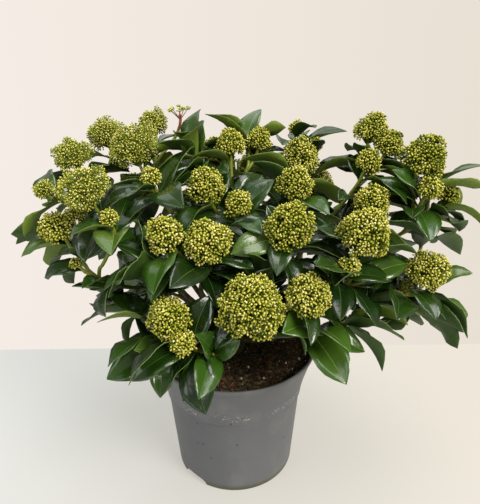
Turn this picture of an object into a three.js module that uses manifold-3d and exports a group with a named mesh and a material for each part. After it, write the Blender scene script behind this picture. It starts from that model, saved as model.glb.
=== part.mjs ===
// A young skimmia shrub in a grey nursery pot.
// Millimetres, +Z up. The origin is the centre of the pot's flat underside. The front is -Y, +X is
// to the right. Azimuths are degrees round the pot's axis: 0 is the front and 90 the right.
//
// The shrub is grown by rule. A short trunk stands on the soil, each bough is one tapering limb that
// leaves it, and each mass of foliage is one body: a stem that takes over at its bough's tip, twigs
// that branch from it to the shoots, leaves in a golden spiral down every shoot, and the domed flower
// heads. Every mass keeps clear of the limbs and of the other masses.

import * as THREE from 'three';
import { mergeVertices } from 'three/addons/utils/BufferGeometryUtils.js';
import Module from 'manifold-3d';

// ---------------------------------------------------------------- driving dimensions

const GAP = 0.3;                      // clearance between pieces that touch
const MERGE_DISTANCE = 1e-3;           // corners closer than this are one
const SMALLEST_EDGE = 0.02;
const DIGITS = 4;                     // decimal places of a corner that count
const DEG = Math.PI / 180;

// Pot: a tapered nursery pot with a step below its flared collar.
const POT_HEIGHT = 197;
const POT_WALL = 1.8;
const POT_FLOOR = 3;
const POT_SIDES = 32;
const FOOT_RADIUS = 86.4;             // where the wall meets the underside
const FOOT_CHAMFER = 3;
const SHOULDER_RADIUS = 97;           // top of the tapered body
const SHOULDER_HEIGHT = 127;
const STEP = 2;                       // how far the ring below the collar stands out
const RING_HEIGHT = 6;
const COLLAR_RADIUS = 104;            // where the collar's slope eases
const COLLAR_HEIGHT = 155;
const RIM_RADIUS = 117;
const RIM_LIP = 2.2;                  // how far the rolled rim stands out of the collar
const RIM_DEPTH = 7;
const RIM_ROUND = 1;

// Two arched drainage recesses, moulded into the pot's bottom edge.
const ARCH_AZIMUTHS = [-44, 136];
const ARCH_WIDTH = 43;
const ARCH_HEIGHT = 10;
const ARCH_DEPTH = 9;
const ARCH_SPRING = 0.35;             // share of the height where the arch starts to curve in

// Soil: a plug that fills the pot, level round the trunk and falling a little to the wall.
const SOIL_SIDES = 16;
const SOIL_EDGE_HEIGHT = 182;
const SOIL_EDGE_RADIUS = 109;
const SOIL_TOP = 188;
const SOIL_CROWN_RADIUS = 40;

// Trunk: a short woody foot that all the boughs leave from.
const TRUNK_TOP = 264;
const TRUNK_FLARE_RADIUS = 17;
const TRUNK_RADIUS = 12;
const TRUNK_TIP_RADIUS = 8;
const TRUNK_FLARE_HEIGHT = 12;
const TRUNK_LEAN = new THREE.Vector2(3, -2);
const TRUNK_SIDES = 12;
const TRUNK_STEPS = 6;

// Boughs leave the trunk level by level, and the last one takes over at its tip.
const LOWEST_BOUGH = 206;
const BOUGH_SPACING = 10.5;
const TIP_LEVEL = 6;
const BOUGH_RADIUS = 4.6;
const BOUGH_TIP_RADIUS = 3.4;
const BOUGH_SIDES = 5;
const BOUGH_STEPS = 3;
const BOUGH_REACH = 0.5;              // share of the way out to its mass
const BOUGH_RISE = 0.36;              // share of the way up to its mass

// The handles of a limb's or twig's curve, as shares of its length.
const HANDLE_OUT = 0.3;
const HANDLE_IN = 0.35;

// Twigs, with three sides.
const STEM_LENGTH = 14;
const STEM_RADIUS = 4.2;
const TWIG_RADIUS = 3.2;
const TWIG_TIP_RADIUS = 2.3;
const TWIG_STEP = 48;
const TWIG_STEPS = [2, 4];            // fewest and most steps in a twig
const SHORTEST_TWIG = 44;
const DETOUR_COST = 0.3;              // how much a long way round to a twig's start counts
const TWIG_INTO_HEAD = 0.3;           // how far a twig runs on into its head, per diameter
const CROWN_HEART = new THREE.Vector3(0, 0, 250);
const SHOOT_UP = 0.92;                // pull of the light on a shoot's direction
const SMALL_HEAD = 40;                // heads under this have fewer sides
const HEAD_MIDDLE = 0.45;             // from a twig's tip to its head's middle, per diameter

// Leaves: 8 faces each, widest at the middle, folded along the midrib and arching over.
const MOST_LEAVES = 9;                // on any shoot
const LEAF_LENGTH = 58;
const LEAF_SWELL = 18;                // extra length of the leaves halfway down a shoot
const LEAF_WIDTH = 0.6;               // share of the length
const LEAF_THICKNESS = 1.7;
const LEAF_CLEARANCE = 0.4;           // room round a leaf to the limbs and the other masses
const LEAF_SINK = 0.9;                // how far the root is sunk past the twig's axis
const FIRST_LEAF = 10;                // from a twig's tip down to its first leaf
const LEAF_SPACING = 4.6;
const LOWEST_LEAF = 0.12;             // share of the twig below which no leaf grows
const LEAF_LEAN = [58, 84];           // angle from the twig, of the first leaf and of the last
const LEAFY_LEAN = [24, 80];          // the same on a shoot without a head
const LEAF_WIDEST = 0.52;
const LEAF_THICKEST = 0.46;
const LEAF_FACES_UP = 0.62;           // how far upper faces turn from the twig's tip to the sky
const LEAF_VARIES = { down: 3, bearing: 24, lean: 14, length: 20, width: 0.08 };
const LEAF_FOLD = 0.1;
const LEAF_ARCH = 0.05;
const LEAF_DROOP = 0.15;
const LEAF_SAG = 0.08;                // pull of its weight on a leaf's direction, more lower down
const LEAF_HANGS = -0.2;              // slope below which a leaf turns back up towards the light
const LEAF_HANG_KEPT = [0.1, 0.8];    // share of the rest of the slope that it keeps
const GOLDEN_ANGLE = 137.5;
const LEAF_TURNS = [0, 20, -20, 40, -40, 60, -60, 80, -80];   // bearings tried in turn for a leaf
const LEAF_SIZES = [1, 0.8, 0.62];    // sizes tried in turn

// Bounds that no leaf leaves.
const CROWN_BACK = 236;
const CROWN_SIDE = 332;
const CROWN_LOW = 200;

// Clearings in the crown: [azimuth, reach, height, radius].
const CLEARINGS = [
  [88, 150, 455, 26], [19, 106, 215, 42], [13, 144, 244, 40], [10, 183, 273, 34],
];

// The flower heads are open to the window: no leaf stands just before one.
const WINDOW = new THREE.Vector3(0, -650, 610);
const OPEN_BACK = 90;                 // heads behind this need not be open
const OPEN_REACH = 120;
const OPEN_SHARE = 0.85;              // of a head's radius

// Gaps in the crown, [azimuth, reach, height, radius]: no leaf stands in the line of sight from the
// window through one.
const SKY_GAPS = [
  [90, 152, 430, 14], [-79, 154, 395, 11], [-73, 167, 342, 14], [-83, 250, 266, 40],
  [-38, 76, 309, 9], [70, 180, 309, 10], [90, 282, 325, 12], [77, 272, 209, 26],
  [91, 326, 340, 20], [-84, 300, 285, 50], [-73, 205, 222, 16], [99, 130, 469, 12],
  [44, 111, 211, 20], [23, 97, 208, 20],
];

// Masses of foliage, each with the level of its bough. A shoot is its azimuth, its reach from the
// pot's axis, the height of its head's middle, the head's diameter, 0 where it is only leafy, and how
// many leaves it has.
const MASSES = [
  { name: 'left_crown', level: 3, shoots: [
    [-98, 210, 465, 50, 5], [-113, 185, 485, 50, 5], [-88, 235, 430, 30, 4], [-70, 180, 445, 58, 6],
  ] },
  { name: 'left_side', level: 2, shoots: [
    [-80, 220, 390, 46, 7], [-81, 195, 405, 30, 3], [-73, 200, 350, 18, 1], [-98, 252, 356, 0, 4],
    [-72, 166, 322, 0, 5], [-60, 160, 415, 26, 5],
  ] },
  { name: 'upper_left', level: 4, shoots: [
    [-104, 130, 475, 64, 6], [-130, 140, 495, 44, 5], [-139, 105, 512, 28, 0], [-73, 100, 450, 28, 5],
  ] },
  { name: 'centre_left', level: 3, shoots: [
    [-36, 125, 405, 46, 8], [-14, 105, 395, 56, 8], [-46, 140, 365, 0, 7],
  ] },
  { name: 'front_left', level: 2, shoots: [
    [-25, 165, 325, 50, 8], [-18, 170, 300, 32, 4], [-8, 150, 275, 0, 5],
  ] },
  { name: 'lower_left', level: 0, shoots: [
    [-72, 162, 292, 0, 6], [-50, 134, 290, 0, 5], [-36, 142, 258, 0, 6],
  ] },
  { name: 'centre_top', level: TIP_LEVEL, shoots: [
    [-44, 42, 440, 50, 8], [11, 50, 422, 36, 6], [180, 50, 475, 44, 7], [151, 80, 475, 36, 4],
    [166, 115, 485, 36, 5], [-125, 66, 478, 0, 9], [163, 82, 480, 0, 3],
  ] },
  { name: 'front_centre', level: 3, shoots: [
    [9, 152, 340, 74, 8], [32, 164, 345, 52, 8], [20, 95, 350, 0, 7],
  ] },
  { name: 'centre_right', level: 5, shoots: [
    [37, 112, 410, 60, 8], [83, 84, 435, 48, 8], [118, 107, 455, 54, 7],
  ] },
  { name: 'lower_right', level: 0, shoots: [
    [60, 180, 286, 0, 6], [72, 190, 298, 0, 5], [40, 155, 290, 0, 5],
  ] },
  { name: 'lower_back_left', level: 0, shoots: [
    [-120, 145, 290, 0, 7], [-140, 165, 265, 0, 8], [-104, 130, 280, 0, 5],
  ] },
  { name: 'lower_back_right', level: 0, shoots: [
    [120, 165, 280, 0, 8], [148, 160, 290, 0, 8], [170, 165, 265, 0, 8],
  ] },
  { name: 'right', level: 2, shoots: [
    [60, 180, 400, 62, 9], [77, 178, 420, 48, 7], [51, 176, 366, 26, 6], [60, 185, 340, 0, 6],
  ] },
  { name: 'right_side', level: 1, shoots: [
    [74, 250, 340, 56, 8], [75, 227, 312, 24, 4], [94, 270, 368, 16, 5], [77, 262, 272, 0, 6],
    [79, 262, 302, 0, 3],
  ] },
  { name: 'far_right', level: 3, shoots: [
    [90, 245, 465, 60, 8], [83, 247, 432, 34, 5], [88, 278, 415, 32, 6], [89, 255, 392, 0, 7],
    [92, 262, 432, 0, 3],
  ] },
  { name: 'right_crown', level: 4, shoots: [
    [105, 195, 490, 48, 7], [101, 214, 472, 42, 4], [93, 178, 457, 38, 7],
  ] },
  { name: 'back_right', level: 2, patch: 128, shoots: [
    [143, 160, 480, 26, 6], [132, 165, 460, 24, 6],
  ] },
  { name: 'back_centre', level: 3, shoots: [], patch: 178 },
  { name: 'back_left', level: 2, shoots: [], patch: -136 },
];

// The back of the crown is a dome: each mass there has a patch of it, whose shoots are spread by the
// golden angle round the patch's azimuth.
const DOME_REACH = 205;
const DOME_MIDDLE = 330;
const DOME_HEIGHT = 150;
const PATCH_AZIMUTH = 25;             // half width of a patch
const PATCH_LOW = -12;                // lowest and highest elevation on the dome, in degrees
const PATCH_HIGH = 62;
const HEAD_ROOM = 58;                 // least distance from a patch's shoot to any other shoot
const PATCH_HEADS = [54, 46, 0, 60, 34, 0];
const PATCH_LEAVES = [9, 8, 8, 9, 7, 8];

// Colours
const GREY_PLASTIC = { color: 0x7b7c80, roughness: 0.6, metalness: 0 };
const PEAT = { color: 0x2e2119, roughness: 0.95, metalness: 0 };
const BARK = { color: 0x6b5a3c, roughness: 0.85, metalness: 0 };
const LEAF_GREENS = [0x2c4a22, 0x35562a, 0x2f5126, 0x3a5f2c];

// ---------------------------------------------------------------- solids

const wasm = await Module();
wasm.setup();

// The closed solid of a geometry: shared vertices are merged and collapsed triangles dropped.
function solid(geometry) {
  geometry.deleteAttribute('normal');
  geometry.deleteAttribute('uv');
  const merged = mergeVertices(geometry, MERGE_DISTANCE);
  const index = merged.getIndex().array;
  const triVerts = [];
  for (let i = 0; i < index.length; i += 3) {
    const [a, b, c] = [index[i], index[i + 1], index[i + 2]];
    if (a !== b && b !== c && c !== a) triVerts.push(a, b, c);
  }
  return new wasm.Manifold(new wasm.Mesh({
    numProp: 3,
    vertProperties: Float32Array.from(merged.getAttribute('position').array),
    triVerts: Uint32Array.from(triVerts),
  }));
}

// The three.js geometry of a solid.
function geometryOf(body) {
  const mesh = body.getMesh();
  const geometry = new THREE.BufferGeometry();
  geometry.setAttribute('position', new THREE.BufferAttribute(Float32Array.from(mesh.vertProperties), 3));
  geometry.setIndex(new THREE.BufferAttribute(Uint32Array.from(mesh.triVerts), 1));
  geometry.computeVertexNormals();
  return geometry;
}

// The largest shell only, so that loose scraps go and sealed hollows fill.
function largestShell(body) {
  return body.decompose().reduce((best, shell) => (shell.volume() > best.volume() ? shell : best));
}

// True where every edge, with its corners rounded, is met once from each side.
function isClosed(body) {
  const { vertProperties, triVerts } = body.getMesh();
  const rounded = Array.from(vertProperties, (value) => value.toFixed(DIGITS));
  const names = Array.from({ length: rounded.length / 3 }, (_, i) => rounded.slice(3 * i, 3 * i + 3).join());
  const edges = new Set();
  for (let i = 0; i < triVerts.length; i += 3) {
    const face = [names[triVerts[i]], names[triVerts[i + 1]], names[triVerts[i + 2]]];
    if (new Set(face).size < 3) continue;
    for (let j = 0; j < 3; j += 1) {
      const edge = `${face[j]} ${face[(j + 1) % 3]}`;
      if (edges.has(edge)) return false;
      edges.add(edge);
    }
  }
  return true;
}

// One fused body: the frame whole, then the leaves one at a time. A leaf that would leave an unclean
// edge is left out.
function fuse(frame, leaves) {
  const whole = largestShell(wasm.Manifold.union(frame).simplify(SMALLEST_EDGE));
  return leaves.reduce((body, blade) => {
    const joined = largestShell(body.add(blade).simplify(SMALLEST_EDGE));
    return isClosed(joined) ? joined : body;
  }, whole);
}

function named(name, body, finish) {
  const mesh = new THREE.Mesh(geometryOf(body), new THREE.MeshStandardMaterial(finish));
  mesh.name = name;
  return mesh;
}

// ---------------------------------------------------------------- shared shapes

function polar(azimuth, reach, height) {
  return new THREE.Vector3(reach * Math.sin(azimuth * DEG), -reach * Math.cos(azimuth * DEG), height);
}

// A number from 0 to 1 that depends only on the four whole numbers given.
function chance(mass, shoot, leaf, use) {
  let h = Math.imul(mass + 1, 73856093) ^ Math.imul(shoot + 1, 19349663);
  h ^= Math.imul(leaf + 1, 83492791) ^ Math.imul(use + 1, 40503);
  h = Math.imul(h ^ (h >>> 15), 739982445);
  h = Math.imul(h ^ (h >>> 12), 695872825);
  h ^= h >>> 15;
  return (h >>> 0) / 4294967296;
}

// A solid turned round the Z axis.
function turned(profile, sides) {
  return solid(new THREE.LatheGeometry(profile.map(([r, z]) => new THREE.Vector2(r, z)), sides)
    .rotateX(Math.PI / 2));
}

// Two unit vectors square to a direction and to each other.
function squareTo(direction) {
  const across = Math.abs(direction.x) < Math.abs(direction.y)
    ? new THREE.Vector3(1, 0, 0) : new THREE.Vector3(0, 1, 0);
  const first = new THREE.Vector3().crossVectors(direction, across).normalize();
  const second = new THREE.Vector3().crossVectors(direction, first);
  return [first, second];
}

// A closed limb bent along a curve: a cylinder whose rings ride the curve. radiusAt gives the
// radius at each share of its length.
function limb(curve, radiusAt, sides, steps) {
  const geometry = new THREE.CylinderGeometry(1, 1, 1, sides, steps);
  const position = geometry.getAttribute('position');
  const [across] = squareTo(curve.getPoint(1).sub(curve.getPoint(0)).normalize());
  for (let i = 0; i < position.count; i += 1) {
    const share = position.getY(i) + 0.5;
    const tangent = curve.getTangent(share);
    const side = new THREE.Vector3().crossVectors(tangent, across).normalize();
    const up = new THREE.Vector3().crossVectors(side, tangent);
    const radius = radiusAt(share);
    const place = curve.getPoint(share)
      .addScaledVector(side, radius * position.getX(i))
      .addScaledVector(up, radius * position.getZ(i));
    position.setXYZ(i, place.x, place.y, place.z);
  }
  return solid(geometry);
}

// ---------------------------------------------------------------- pot and soil

function potOuter() {
  return [
    [0, 0],
    [FOOT_RADIUS - FOOT_CHAMFER, 0],
    [FOOT_RADIUS, FOOT_CHAMFER],
    [SHOULDER_RADIUS, SHOULDER_HEIGHT],
    [SHOULDER_RADIUS + STEP, SHOULDER_HEIGHT + 1],
    [SHOULDER_RADIUS + STEP, SHOULDER_HEIGHT + RING_HEIGHT],
    [COLLAR_RADIUS, COLLAR_HEIGHT],
    [RIM_RADIUS - RIM_LIP, POT_HEIGHT - RIM_DEPTH],
    [RIM_RADIUS, POT_HEIGHT - RIM_DEPTH + RIM_LIP],
    [RIM_RADIUS, POT_HEIGHT - RIM_ROUND],
    [RIM_RADIUS - RIM_ROUND, POT_HEIGHT],
  ];
}

// The inside of the wall, from the rim down. Soil follows it with a clearance of its own.
function potInner(clearance) {
  const inset = POT_WALL + clearance;
  return [
    [RIM_RADIUS - RIM_LIP - inset, POT_HEIGHT - RIM_DEPTH],
    [COLLAR_RADIUS - inset, COLLAR_HEIGHT],
    [SHOULDER_RADIUS - inset, SHOULDER_HEIGHT],
    [FOOT_RADIUS - inset, POT_FLOOR + clearance],
  ];
}

// An arched block at the pot's bottom edge, grown all round by the given amount.
function archBlock(azimuth, grow) {
  const half = ARCH_WIDTH / 2 + grow;
  const top = ARCH_HEIGHT + grow;
  const shape = new THREE.Shape();
  const spring = top * ARCH_SPRING;
  shape.moveTo(-half, -GAP);
  shape.lineTo(half, -GAP);
  shape.lineTo(half, spring);
  shape.quadraticCurveTo(half, top, 0, top);
  shape.quadraticCurveTo(-half, top, -half, spring);
  const length = ARCH_DEPTH * 2 + grow;
  const geometry = new THREE.ExtrudeGeometry(shape, { depth: length, bevelEnabled: false, curveSegments: 4 })
    .rotateX(Math.PI / 2)
    .translate(0, -FOOT_RADIUS + ARCH_DEPTH + grow, 0)
    .rotateZ(azimuth * DEG);
  return solid(geometry);
}

function pot() {
  const outside = turned([...potOuter(), [0, POT_HEIGHT]], POT_SIDES);
  const inside = [[RIM_RADIUS - RIM_ROUND - POT_WALL, POT_HEIGHT], ...potInner(0)];
  let body = turned([...potOuter(), ...inside, [0, POT_FLOOR]], POT_SIDES);
  for (const azimuth of ARCH_AZIMUTHS) {
    body = body.add(archBlock(azimuth, POT_WALL).intersect(outside));
    body = body.subtract(archBlock(azimuth, 0));
  }
  return largestShell(body);
}

function soil() {
  const wall = potInner(GAP * 2).slice(1);
  const top = [[0, SOIL_TOP], [SOIL_CROWN_RADIUS, SOIL_TOP], [SOIL_EDGE_RADIUS, SOIL_EDGE_HEIGHT]];
  let body = turned([...top, ...wall, [0, POT_FLOOR + GAP * 2]].reverse(), SOIL_SIDES);
  for (const azimuth of ARCH_AZIMUTHS) body = body.subtract(archBlock(azimuth, POT_WALL + GAP * 2));
  return largestShell(body);
}

// ---------------------------------------------------------------- trunk and boughs

// The trunk stands square on the soil and leans more the higher it goes.
function trunkCentre(height) {
  const share = (height - SOIL_TOP) / (TRUNK_TOP - SOIL_TOP);
  return new THREE.Vector3(TRUNK_LEAN.x * share * share, TRUNK_LEAN.y * share * share, height);
}

function trunkRadius(height) {
  const above = height - SOIL_TOP;
  const share = above / (TRUNK_TOP - SOIL_TOP);
  const flare = Math.max(0, 1 - above / TRUNK_FLARE_HEIGHT);
  return THREE.MathUtils.lerp(TRUNK_RADIUS, TRUNK_TIP_RADIUS, share)
    + (TRUNK_FLARE_RADIUS - TRUNK_RADIUS) * flare * flare;
}

function trunk() {
  const base = SOIL_TOP + GAP;
  const middle = new THREE.Vector3(0, 0, (base + TRUNK_TOP) / 2);
  const curve = new THREE.QuadraticBezierCurve3(trunkCentre(SOIL_TOP), middle, trunkCentre(TRUNK_TOP));
  curve.v0.z = base;
  const radius = (share) => trunkRadius(THREE.MathUtils.lerp(base, TRUNK_TOP, share));
  return limb(curve, radius, TRUNK_SIDES, TRUNK_STEPS);
}

// A bough leaves the trunk square to it and ends part of the way to the middle of its mass, heading
// for that middle.
function boughCurve(mass) {
  const middle = new THREE.Vector3();
  for (const shoot of mass.shoots) middle.addScaledVector(shoot.head, 1 / mass.shoots.length);
  const atTip = mass.level === TIP_LEVEL;
  const height = atTip ? TRUNK_TOP : LOWEST_BOUGH + BOUGH_SPACING * mass.level;
  const end = new THREE.Vector3(
    middle.x * BOUGH_REACH, middle.y * BOUGH_REACH, height + (middle.z - height) * BOUGH_RISE);
  const direction = middle.sub(end).normalize();
  const centre = trunkCentre(height);
  const outward = atTip ? new THREE.Vector3(0, 0, 1)
    : new THREE.Vector3(end.x - centre.x, end.y - centre.y, 0).normalize();
  const clear = atTip ? GAP * 2 : trunkRadius(height - BOUGH_RADIUS) + GAP * 1.6;
  const start = centre.clone().addScaledVector(outward, clear);
  const length = start.distanceTo(end);
  return new THREE.CubicBezierCurve3(
    start,
    start.clone().addScaledVector(outward, length * HANDLE_OUT),
    end.clone().addScaledVector(direction, -length * HANDLE_IN),
    end,
  );
}

function bough(curve) {
  const radius = (share) => THREE.MathUtils.lerp(BOUGH_RADIUS, BOUGH_TIP_RADIUS, share);
  return limb(curve, radius, BOUGH_SIDES, BOUGH_STEPS);
}

// ---------------------------------------------------------------- shoots and twigs

// A shoot points out of the crown's heart and up. Its twig ends at its head's underside.
function shootFrom([azimuth, reach, height, size, leaves]) {
  const head = polar(azimuth, reach, height);
  const direction = head.clone().sub(CROWN_HEART).normalize();
  direction.z += SHOOT_UP;
  direction.normalize();
  const tip = head.clone().addScaledVector(direction, -HEAD_MIDDLE * size);
  return { head, direction, tip, size, leaves };
}

// Shoots over a patch of the dome at the back of the crown.
function patchShoots(azimuth) {
  return PATCH_HEADS.map((size, i) => {
    const spread = Math.sqrt((i + 0.5) / PATCH_HEADS.length);
    const turn = i * GOLDEN_ANGLE * DEG;
    const bearing = azimuth + PATCH_AZIMUTH * spread * Math.cos(turn);
    const middle = (PATCH_LOW + PATCH_HIGH) / 2;
    const elevation = (middle + (PATCH_HIGH - middle) * spread * Math.sin(turn)) * DEG;
    return shootFrom([
      bearing, DOME_REACH * Math.cos(elevation), DOME_MIDDLE + DOME_HEIGHT * Math.sin(elevation), size,
      PATCH_LEAVES[i],
    ]);
  });
}

// The shoots of every mass. A patch leaves out a shoot whose head another already fills.
function setShoots() {
  const placed = [];
  for (const mass of MASSES) {
    mass.shoots = mass.shoots.map(shootFrom);
    placed.push(...mass.shoots);
  }
  for (const mass of MASSES.filter(({ patch }) => patch !== undefined)) {
    for (const shoot of patchShoots(mass.patch)) {
      if (placed.some((other) => other.head.distanceTo(shoot.head) < HEAD_ROOM)) continue;
      mass.shoots.push(shoot);
      placed.push(shoot);
    }
  }
}

// Twigs of a mass. Shoots are reached in order of their distance from the stem, and each twig leaves
// the nearest place already grown, so the twigs branch without crossing.
function growTwigs(mass, stemStart, direction) {
  const fork = stemStart.clone().addScaledVector(direction, STEM_LENGTH);
  const places = [{ point: fork, direction, path: 0 }];
  const order = [...mass.shoots].sort((a, b) => a.tip.distanceTo(fork) - b.tip.distanceTo(fork));
  for (const shoot of order) {
    let best = places[0];
    let bestCost = Infinity;
    for (const place of places) {
      const length = place.point.distanceTo(shoot.tip);
      const cost = length + DETOUR_COST * place.path;
      if (cost < bestCost && length > SHORTEST_TWIG) {
        best = place;
        bestCost = cost;
      }
    }
    const length = best.point.distanceTo(shoot.tip);
    shoot.length = length;
    shoot.curve = new THREE.CubicBezierCurve3(
      best.point.clone(),
      best.point.clone().addScaledVector(best.direction, length * HANDLE_OUT),
      shoot.tip.clone().addScaledVector(shoot.direction, -length * HANDLE_IN),
      shoot.tip.clone().addScaledVector(shoot.direction, TWIG_INTO_HEAD * shoot.size),
    );
    shoot.steps = THREE.MathUtils.clamp(Math.round(length / TWIG_STEP), ...TWIG_STEPS);
    for (let step = 1; step < shoot.steps; step += 1) {
      const share = step / shoot.steps;
      places.push({
        point: shoot.curve.getPoint(share),
        direction: shoot.curve.getTangent(share),
        path: best.path + length * share,
      });
    }
  }
  return fork;
}

function twig(shoot) {
  const radius = (share) => THREE.MathUtils.lerp(TWIG_RADIUS, TWIG_TIP_RADIUS, share);
  return limb(shoot.curve, radius, 3, shoot.steps);
}

// ---------------------------------------------------------------- heads and leaves

// A domed head: a low cone below, its widest ring at two fifths of the height, and a round top.
function head(shoot) {
  const r = shoot.size / 2;
  const sides = shoot.size < SMALL_HEAD ? 6 : 8;
  const profile = [[0, -0.15 * r], [0.72 * r, 0.05 * r], [r, 0.7 * r], [0.76 * r, 1.5 * r], [0, 2 * r]];
  const geometry = new THREE.LatheGeometry(profile.map(([x, y]) => new THREE.Vector2(x, y)), sides);
  const turn = new THREE.Quaternion().setFromUnitVectors(new THREE.Vector3(0, 1, 0), shoot.direction);
  geometry.applyQuaternion(turn).translate(shoot.tip.x, shoot.tip.y, shoot.tip.z);
  return solid(geometry);
}

// Where a leaf stands and how: the shares of a golden spiral that starts below the head.
function leafFrame(shoot, massIndex, shootIndex, k, turn, size) {
  const dice = (use) => chance(massIndex, shootIndex, k, use);
  const count = Math.max(2, shoot.leaves);
  const down = FIRST_LEAF + LEAF_SPACING * k + LEAF_VARIES.down * dice(0);
  const share = Math.max(LOWEST_LEAF, 1 - down / shoot.length);
  const root = shoot.curve.getPoint(share);
  const axis = shoot.curve.getTangent(share);
  const [first, second] = squareTo(axis);
  const shootTurn = 360 * chance(massIndex, shootIndex, 0, 9);
  const bearing = k * GOLDEN_ANGLE + shootTurn + LEAF_VARIES.bearing * (dice(1) - 0.5) + turn;
  const phi = bearing * DEG;
  const lower = k / (count - 1);
  const leans = shoot.size > 0 ? LEAF_LEAN : LEAFY_LEAN;
  const lean = (THREE.MathUtils.lerp(...leans, lower) + LEAF_VARIES.lean * (dice(2) - 0.5)) * DEG;
  const along = axis.clone().multiplyScalar(Math.cos(lean))
    .addScaledVector(first, Math.sin(lean) * Math.cos(phi))
    .addScaledVector(second, Math.sin(lean) * Math.sin(phi));
  along.z -= LEAF_SAG * (1 + lower);
  along.normalize();
  if (along.z < LEAF_HANGS) {
    along.z = LEAF_HANGS + (along.z - LEAF_HANGS) * THREE.MathUtils.lerp(...LEAF_HANG_KEPT, dice(5));
  }
  along.normalize();
  const swell = LEAF_SWELL * Math.sin(Math.PI * (k + 0.5) / count);
  const length = (LEAF_LENGTH + swell + LEAF_VARIES.length * (dice(3) - 0.5)) * size;
  const upper = axis.clone();
  upper.z += LEAF_FACES_UP;
  upper.addScaledVector(along, -upper.dot(along)).normalize();
  const side = new THREE.Vector3().crossVectors(along, upper);
  const width = length * (LEAF_WIDTH + LEAF_VARIES.width * (dice(4) - 0.5));
  return { root, along, upper, side, length, width };
}

// The leaf's outline points: root, tip, the two edges and the middle of its upper and lower face.
function leafPoints(frame, grow) {
  const { root, along, upper, side, length, width } = frame;
  const at = (forward, rise, across) => root.clone()
    .addScaledVector(along, forward).addScaledVector(upper, rise).addScaledVector(side, across);
  const half = width / 2 + grow;
  const middle = LEAF_ARCH * length;
  const edge = middle + LEAF_FOLD * width;
  const thick = LEAF_THICKNESS / 2 + grow;
  return {
    right: at(length * LEAF_WIDEST, edge, half),
    left: at(length * LEAF_WIDEST, edge, -half),
    tip: at(length + grow, -LEAF_DROOP * length, 0),
    root: at(-LEAF_SINK, 0, 0),
    top: at(length * LEAF_THICKEST, middle + thick, 0),
    bottom: at(length * LEAF_THICKEST, middle - thick, 0),
  };
}

// A leaf is an octahedron whose six corners take the leaf's points.
function leaf(points) {
  const geometry = new THREE.OctahedronGeometry(1);
  const position = geometry.getAttribute('position');
  for (let i = 0; i < position.count; i += 1) {
    const [x, y, z] = [position.getX(i), position.getY(i), position.getZ(i)];
    let place = z > 0.5 ? points.top : points.bottom;
    if (Math.abs(x) > 0.5) place = x > 0 ? points.right : points.left;
    if (Math.abs(y) > 0.5) place = y > 0 ? points.tip : points.root;
    position.setXYZ(i, place.x, place.y, place.z);
  }
  return solid(geometry);
}

// True where a point is just before a head as seen from the window.
function standsBefore(point, shoot) {
  const away = WINDOW.clone().sub(shoot.head).normalize();
  const off = point.clone().sub(shoot.head);
  const before = off.dot(away);
  if (before < 0 || before > OPEN_REACH) return false;
  return off.addScaledVector(away, -before).length() < OPEN_SHARE * shoot.size / 2;
}

// True where a point is in the line of sight from the window through a gap.
function fillsGap(point, [azimuth, reach, height, radius]) {
  const sight = polar(azimuth, reach, height).sub(WINDOW).normalize();
  const off = point.clone().sub(WINDOW);
  return off.addScaledVector(sight, -off.dot(sight)).length() < radius;
}

// True where a leaf's outline leaves the crown, fills a clearing or runs into a head of its own mass.
function outOfSpace(points, mass, own) {
  const samples = [points.tip, points.left, points.right, points.top];
  samples.push(points.top.clone().lerp(points.tip, 0.5), points.top.clone().lerp(points.root, 0.5));
  samples.push(points.top.clone().lerp(points.left, 0.5), points.top.clone().lerp(points.right, 0.5));
  const clearings = CLEARINGS.map(([azimuth, reach, height, radius]) => ({
    head: polar(azimuth, reach, height), size: radius * 2,
  }));
  const keepOff = [...clearings, ...mass.shoots.filter((shoot) => shoot !== own && shoot.size > 0)];
  return samples.some((p) => p.y > CROWN_BACK || Math.abs(p.x) > CROWN_SIDE || p.z < CROWN_LOW
    || keepOff.some((other) => p.distanceTo(other.head) < other.size / 2)
    || headsInFront.some((other) => standsBefore(p, other))
    || SKY_GAPS.some((gap) => fillsGap(p, gap)));
}

// ---------------------------------------------------------------- the whole plant

// A solid with its box, so that far pieces are passed over quickly.
function boxed(body) {
  const { min, max } = body.boundingBox();
  return { body, min, max };
}

function touches(a, b) {
  for (let axis = 0; axis < 3; axis += 1) {
    if (a.min[axis] > b.max[axis] || b.min[axis] > a.max[axis]) return false;
  }
  return !a.body.intersect(b.body).isEmpty();
}

const plant = new THREE.Group();
const fixed = [];                     // pot, soil, trunk and boughs: nothing may touch them

function addFixed(name, body, finish) {
  fixed.push(boxed(body));
  plant.add(named(name, body, finish));
}

addFixed('pot', pot(), GREY_PLASTIC);
addFixed('soil', soil(), PEAT);
addFixed('trunk', trunk(), BARK);

setShoots();
const headsInFront = MASSES.flatMap(({ shoots }) => shoots)
  .filter(({ head: place, size }) => size > 0 && place.y < OPEN_BACK);
for (const mass of MASSES) {
  const curve = boughCurve(mass);
  addFixed(`bough_${mass.name}`, bough(curve), BARK);
  const direction = curve.getTangent(1);
  const stemStart = curve.getPoint(1).addScaledVector(direction, GAP);
  const fork = growTwigs(mass, stemStart, direction);
  const stem = limb(new THREE.LineCurve3(stemStart, fork.clone().addScaledVector(direction, 2)),
    () => STEM_RADIUS, 3, 1);
  mass.frame = [boxed(stem)];
  mass.leaves = [];
  for (const shoot of mass.shoots) {
    shoot.twig = boxed(twig(shoot));
    mass.frame.push(shoot.twig);
  }
  mass.frame.push(...mass.shoots.filter((shoot) => shoot.size > 0).map(head).map(boxed));
}

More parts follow.
